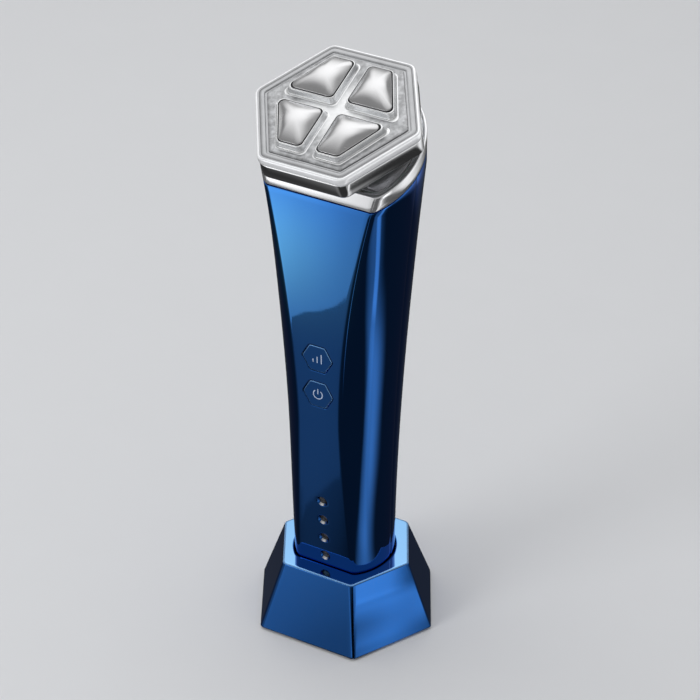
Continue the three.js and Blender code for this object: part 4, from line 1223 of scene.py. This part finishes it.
def lamp(name, place, target, size, radiance):
    """A square area lamp that reflections don't show. Its power is its brightness times its area times pi."""
    data = bpy.data.lights.new(name, "AREA")
    data.shape, data.size, data.size_y = "RECTANGLE", size, size
    data.energy = radiance * size * size * math.pi
    holder = bpy.data.objects.new(name, data)
    bpy.context.scene.collection.objects.link(holder)
    holder.location = place
    holder.rotation_euler = (Vector(place) - Vector(target)).to_track_quat("Z", "Y").to_euler()
    holder.visible_camera = holder.visible_glossy = False


def stage_sheet(name, corners, faces, material, seen=False):
    """A sheet of the stage. Unless it is seen by the camera, it shows in reflections only."""
    mesh = bpy.data.meshes.new(name)
    mesh.from_pydata(np.asarray(corners, float).tolist(), [], np.asarray(faces).tolist())
    mesh.materials.append(material)
    sheet = bpy.data.objects.new(name, mesh)
    bpy.context.scene.collection.objects.link(sheet)
    for flag in ("glossy",) if seen else ("camera", "diffuse", "shadow", "transmission"):
        setattr(sheet, "visible_" + flag, False)


def level_sheet(name, level, material, seen=False):
    corners = [(-STAGE_HALF, -STAGE_HALF, level), (STAGE_HALF, -STAGE_HALF, level),
               (STAGE_HALF, STAGE_HALF, level), (-STAGE_HALF, STAGE_HALF, level)]
    stage_sheet(name, corners, [(0, 1, 2, 3)], material, seen)


def upright_card(name, foot, material):
    """A card that stands on a line of points."""
    corners = np.concatenate([flat_ring(foot, 0), flat_ring(foot, CARD_HEIGHT)])
    stage_sheet(name, corners, grid_faces(2, len(foot)), material)


class MASSAGER_OT_stage(bpy.types.Operator):
    """Makes the floor, the lamps, the cards that polished faces mirror, the surroundings and the camera"""
    bl_idname = "massager.stage"
    bl_label = "Stage"

    def execute(self, context):
        s = sizes("stage")
        context.scene.view_settings.view_transform = "Standard"
        r = Recipe("stage_floor")
        grain = r.noise(40, 3)
        floor = r.surface(r.blend(grain, *shades(s.floor, 0.98)), grain * 0.1 + 0.8, Specular_IOR_Level=0.1)
        level_sheet("stage_floor", -0.0002, floor, seen=True)
        level_sheet("stage_mat", -0.001, self.mat(s))
        self.left_card(s)
        self.ceiling()
        self.dark_card(s)
        lamp("overhead_lamp", (-0.25, 0.15, 1.15), (0, 0, 0.1), 0.9, s.overhead)
        lamp("front_lamp", (-0.55, -1.0, 0.75), (0, 0, 0.1), 0.5, 5.0)
        self.world(context.scene, s)
        self.camera(context.scene, s)
        return {"FINISHED"}

    def mat(self, s):
        """The polished dark mat that polished faces see below them. Soft light strips lie on it, some along X
        on the right and others each in one direction from the stand, and it is pale further out."""
        r = Recipe("stage_mat")
        x, y, _ = r.axes()
        away = (x * x + y * y) ** 0.5

        def strip(degrees, before, after):
            """A share that rises before a direction and falls after it, both given as a sine of the angle.
            Directions are counted from the front to the right."""
            turn = math.radians(degrees)
            side = (x * math.cos(turn) + y * math.sin(turn)) / away
            along = (x * math.sin(turn) - y * math.cos(turn)) / away
            return side.over(-before, 0) * (1 - side.over(0, after)) * along.over(0, 0.3)

        bend = x.math("MINIMUM", 0.205).math("MAXIMUM", 0.14) - 0.14
        middle = x.over(0.055, 0.115) * 0.018 - 0.018 - bend * bend * 13.6
        half = 0.014 + x.over(0.05, 0.11) * 0.006 + x.over(0.11, 0.2) * 0.026
        right = 1 - ((y - middle) / half).size().over(0, 1.9)
        right = right * x.over(0.02, 0.03) * (x.over(0.075, 0.12) * 0.22 - x.over(0.155, 0.20) * 0.42 + 0.56)
        beam = 1 - ((y + 0.024) / 0.012).size().over(0.5, 1.5)
        beam = beam * (x.over(0.045, 0.07) * 0.2 + x.over(0.176, 0.19) * (1 - x.over(0.3, 0.5)) * 0.55)
        panel = (1 - (y + 0.01).size().over(0.03, 0.06)) * x.over(0.26, 0.32) * (1 - x.over(0.6, 0.9)) * 0.6
        far = strip(126, 0.85, 0.95) * away.over(0.25, 0.32) * 0.95
        edge = strip(12, 0.05, 0.05) * away.over(0.15, 0.2) * 0.6
        front = strip(-29, 0.4, 0.4) * (away * 0.62 + 0.045)
        pale = away.over(0.32, 0.8) * 0.4
        level = right + beam + panel + far + edge + front + pale + s.mat
        return r.surface((0, 0, 0), 0.05, Emission_Color=level, Emission_Strength=1.0)

    def left_card(self, s):
        """An upright wavy card on the left, brightest high up and near."""
        r = Recipe("stage_left_card")
        _, y, z = r.axes()
        front = y * -1
        near = 1 - front.over(0.18, 0.34)
        level = (z.over(0.0, 0.13) * near * 0.90 + near * 0.15 + 0.52) * front.over(0.15, 0.18) * s.card
        foot = np.array([(-116, -150), (-115, -197), (-115, -213), (-111, -220), (-109, -232), (-111, -250),
                         (-113, -300), (-113, -900)]) * MM
        upright_card("stage_left_card", foot, r.glow(level))

    def ceiling(self):
        """A wide soft card overhead, brightest behind and to the left."""
        r = Recipe("stage_ceiling")
        x, y, _ = r.axes()
        along, across = y * 0.87 - x * 0.5 - 0.45, x * 0.87 + y * 0.5
        along = along * (1 - along.over(0, 0.05) * 0.4)
        off = (along * along + across * across) ** 0.5
        level_sheet("stage_ceiling", 0.9, r.glow((1 - off.over(0.1, 1.0)) * 1.05 + 0.25))

    def dark_card(self, s):
        """A low dark card 1 m off to the right of the front, which fades into the surroundings at its ends
        and top."""
        r = Recipe("stage_dark_card")
        x, y, z = r.axes()
        turn = math.radians(42)
        side = (x * math.cos(turn) + y * math.sin(turn)) / (x * x + y * y) ** 0.5
        dark = (1 - side.size().over(0.25, 0.65)) * (1 - z.over(0.04, 0.13))
        turns = np.radians(np.arange(-6, 91, 6))
        foot = np.stack([np.sin(turns), -np.cos(turns)], -1)
        upright_card("stage_dark_card", foot, r.glow((1 - dark) * s.world))

    def world(self, scene, s):
        """Soft and pale, a little brighter overhead, the same for the camera and for reflections."""
        r = Recipe("stage_world", world=True)
        z = r.axes(r.add("ShaderNodeTexCoord", out="Generated"))[2]
        level = (z.over(0.02, 0.45) * 0.1 + 1) * s.world
        light = r.add("ShaderNodeBackground", None, {"Color": (1, 1, 1), "Strength": level})
        scene.world = r.close(light, "ShaderNodeOutputWorld")

    def camera(self, scene, s):
        """The photo's view: 33.8 degrees down, from the front and 29.2 degrees to the right, 0.93 m away."""
        pitch, turn, roll, away = math.radians(33.795), math.radians(29.224), math.radians(-0.313), 0.92924
        target = Vector((0.001766, 0, 0.109795))
        forward = Vector((0, math.cos(pitch), -math.sin(pitch)))
        right = Vector((1, 0, 0))
        up = right.cross(forward)
        c, sn = math.cos(roll), math.sin(roll)
        right, up = c * right + sn * up, c * up - sn * right
        matrix = Matrix((right, up, -forward)).transposed().to_4x4()
        matrix.translation = target - away * forward
        data = bpy.data.cameras.new("camera")
        data.sensor_width, data.lens = 36.0, s.lens
        data.clip_start, data.clip_end = 0.01, 20
        camera = bpy.data.objects.new("camera", data)
        scene.collection.objects.link(camera)
        camera.matrix_world = Matrix.Rotation(turn, 4, "Z") @ matrix
        scene.camera = camera


class MASSAGER_PT_panel(bpy.types.Panel):
    """Lists the steps in their order"""
    bl_idname = "MASSAGER_PT_panel"
    bl_label = "Massager"
    bl_space_type = "VIEW_3D"
    bl_region_type = "UI"
    bl_category = "Massager"

    def draw(self, context):
        for operator in OPERATORS:
            self.layout.operator(operator.bl_idname)
        for name, group in GROUPS.items():
            box = self.layout.box()
            for size in group.__annotations__:
                box.prop(sizes(name), size)


OPERATORS = (MASSAGER_OT_stage, MASSAGER_OT_stand, MASSAGER_OT_grip, MASSAGER_OT_buttons, MASSAGER_OT_lights,
             MASSAGER_OT_neck, MASSAGER_OT_head, MASSAGER_OT_electrodes, MASSAGER_OT_inside)
GROUPS = {"stand": StandSizes, "handle": HandleSizes, "head": HeadSizes, "finish": Finishes,
          "stage": StageSizes}


def register():
    for name, group in GROUPS.items():
        bpy.utils.register_class(group)
        setattr(bpy.types.Scene, "massager_" + name, bpy.props.PointerProperty(type=group))
    for item in (*OPERATORS, MASSAGER_PT_panel):
        bpy.utils.register_class(item)


def unregister():
    for item in (MASSAGER_PT_panel, *reversed(OPERATORS)):
        bpy.utils.unregister_class(item)
    for name, group in GROUPS.items():
        delattr(bpy.types.Scene, "massager_" + name)
        bpy.utils.unregister_class(group)


def main():
    register()
    for operator in OPERATORS:
        group, name = operator.bl_idname.split(".")
        getattr(getattr(bpy.ops, group), name)()


if __name__ == "__main__":
    main()
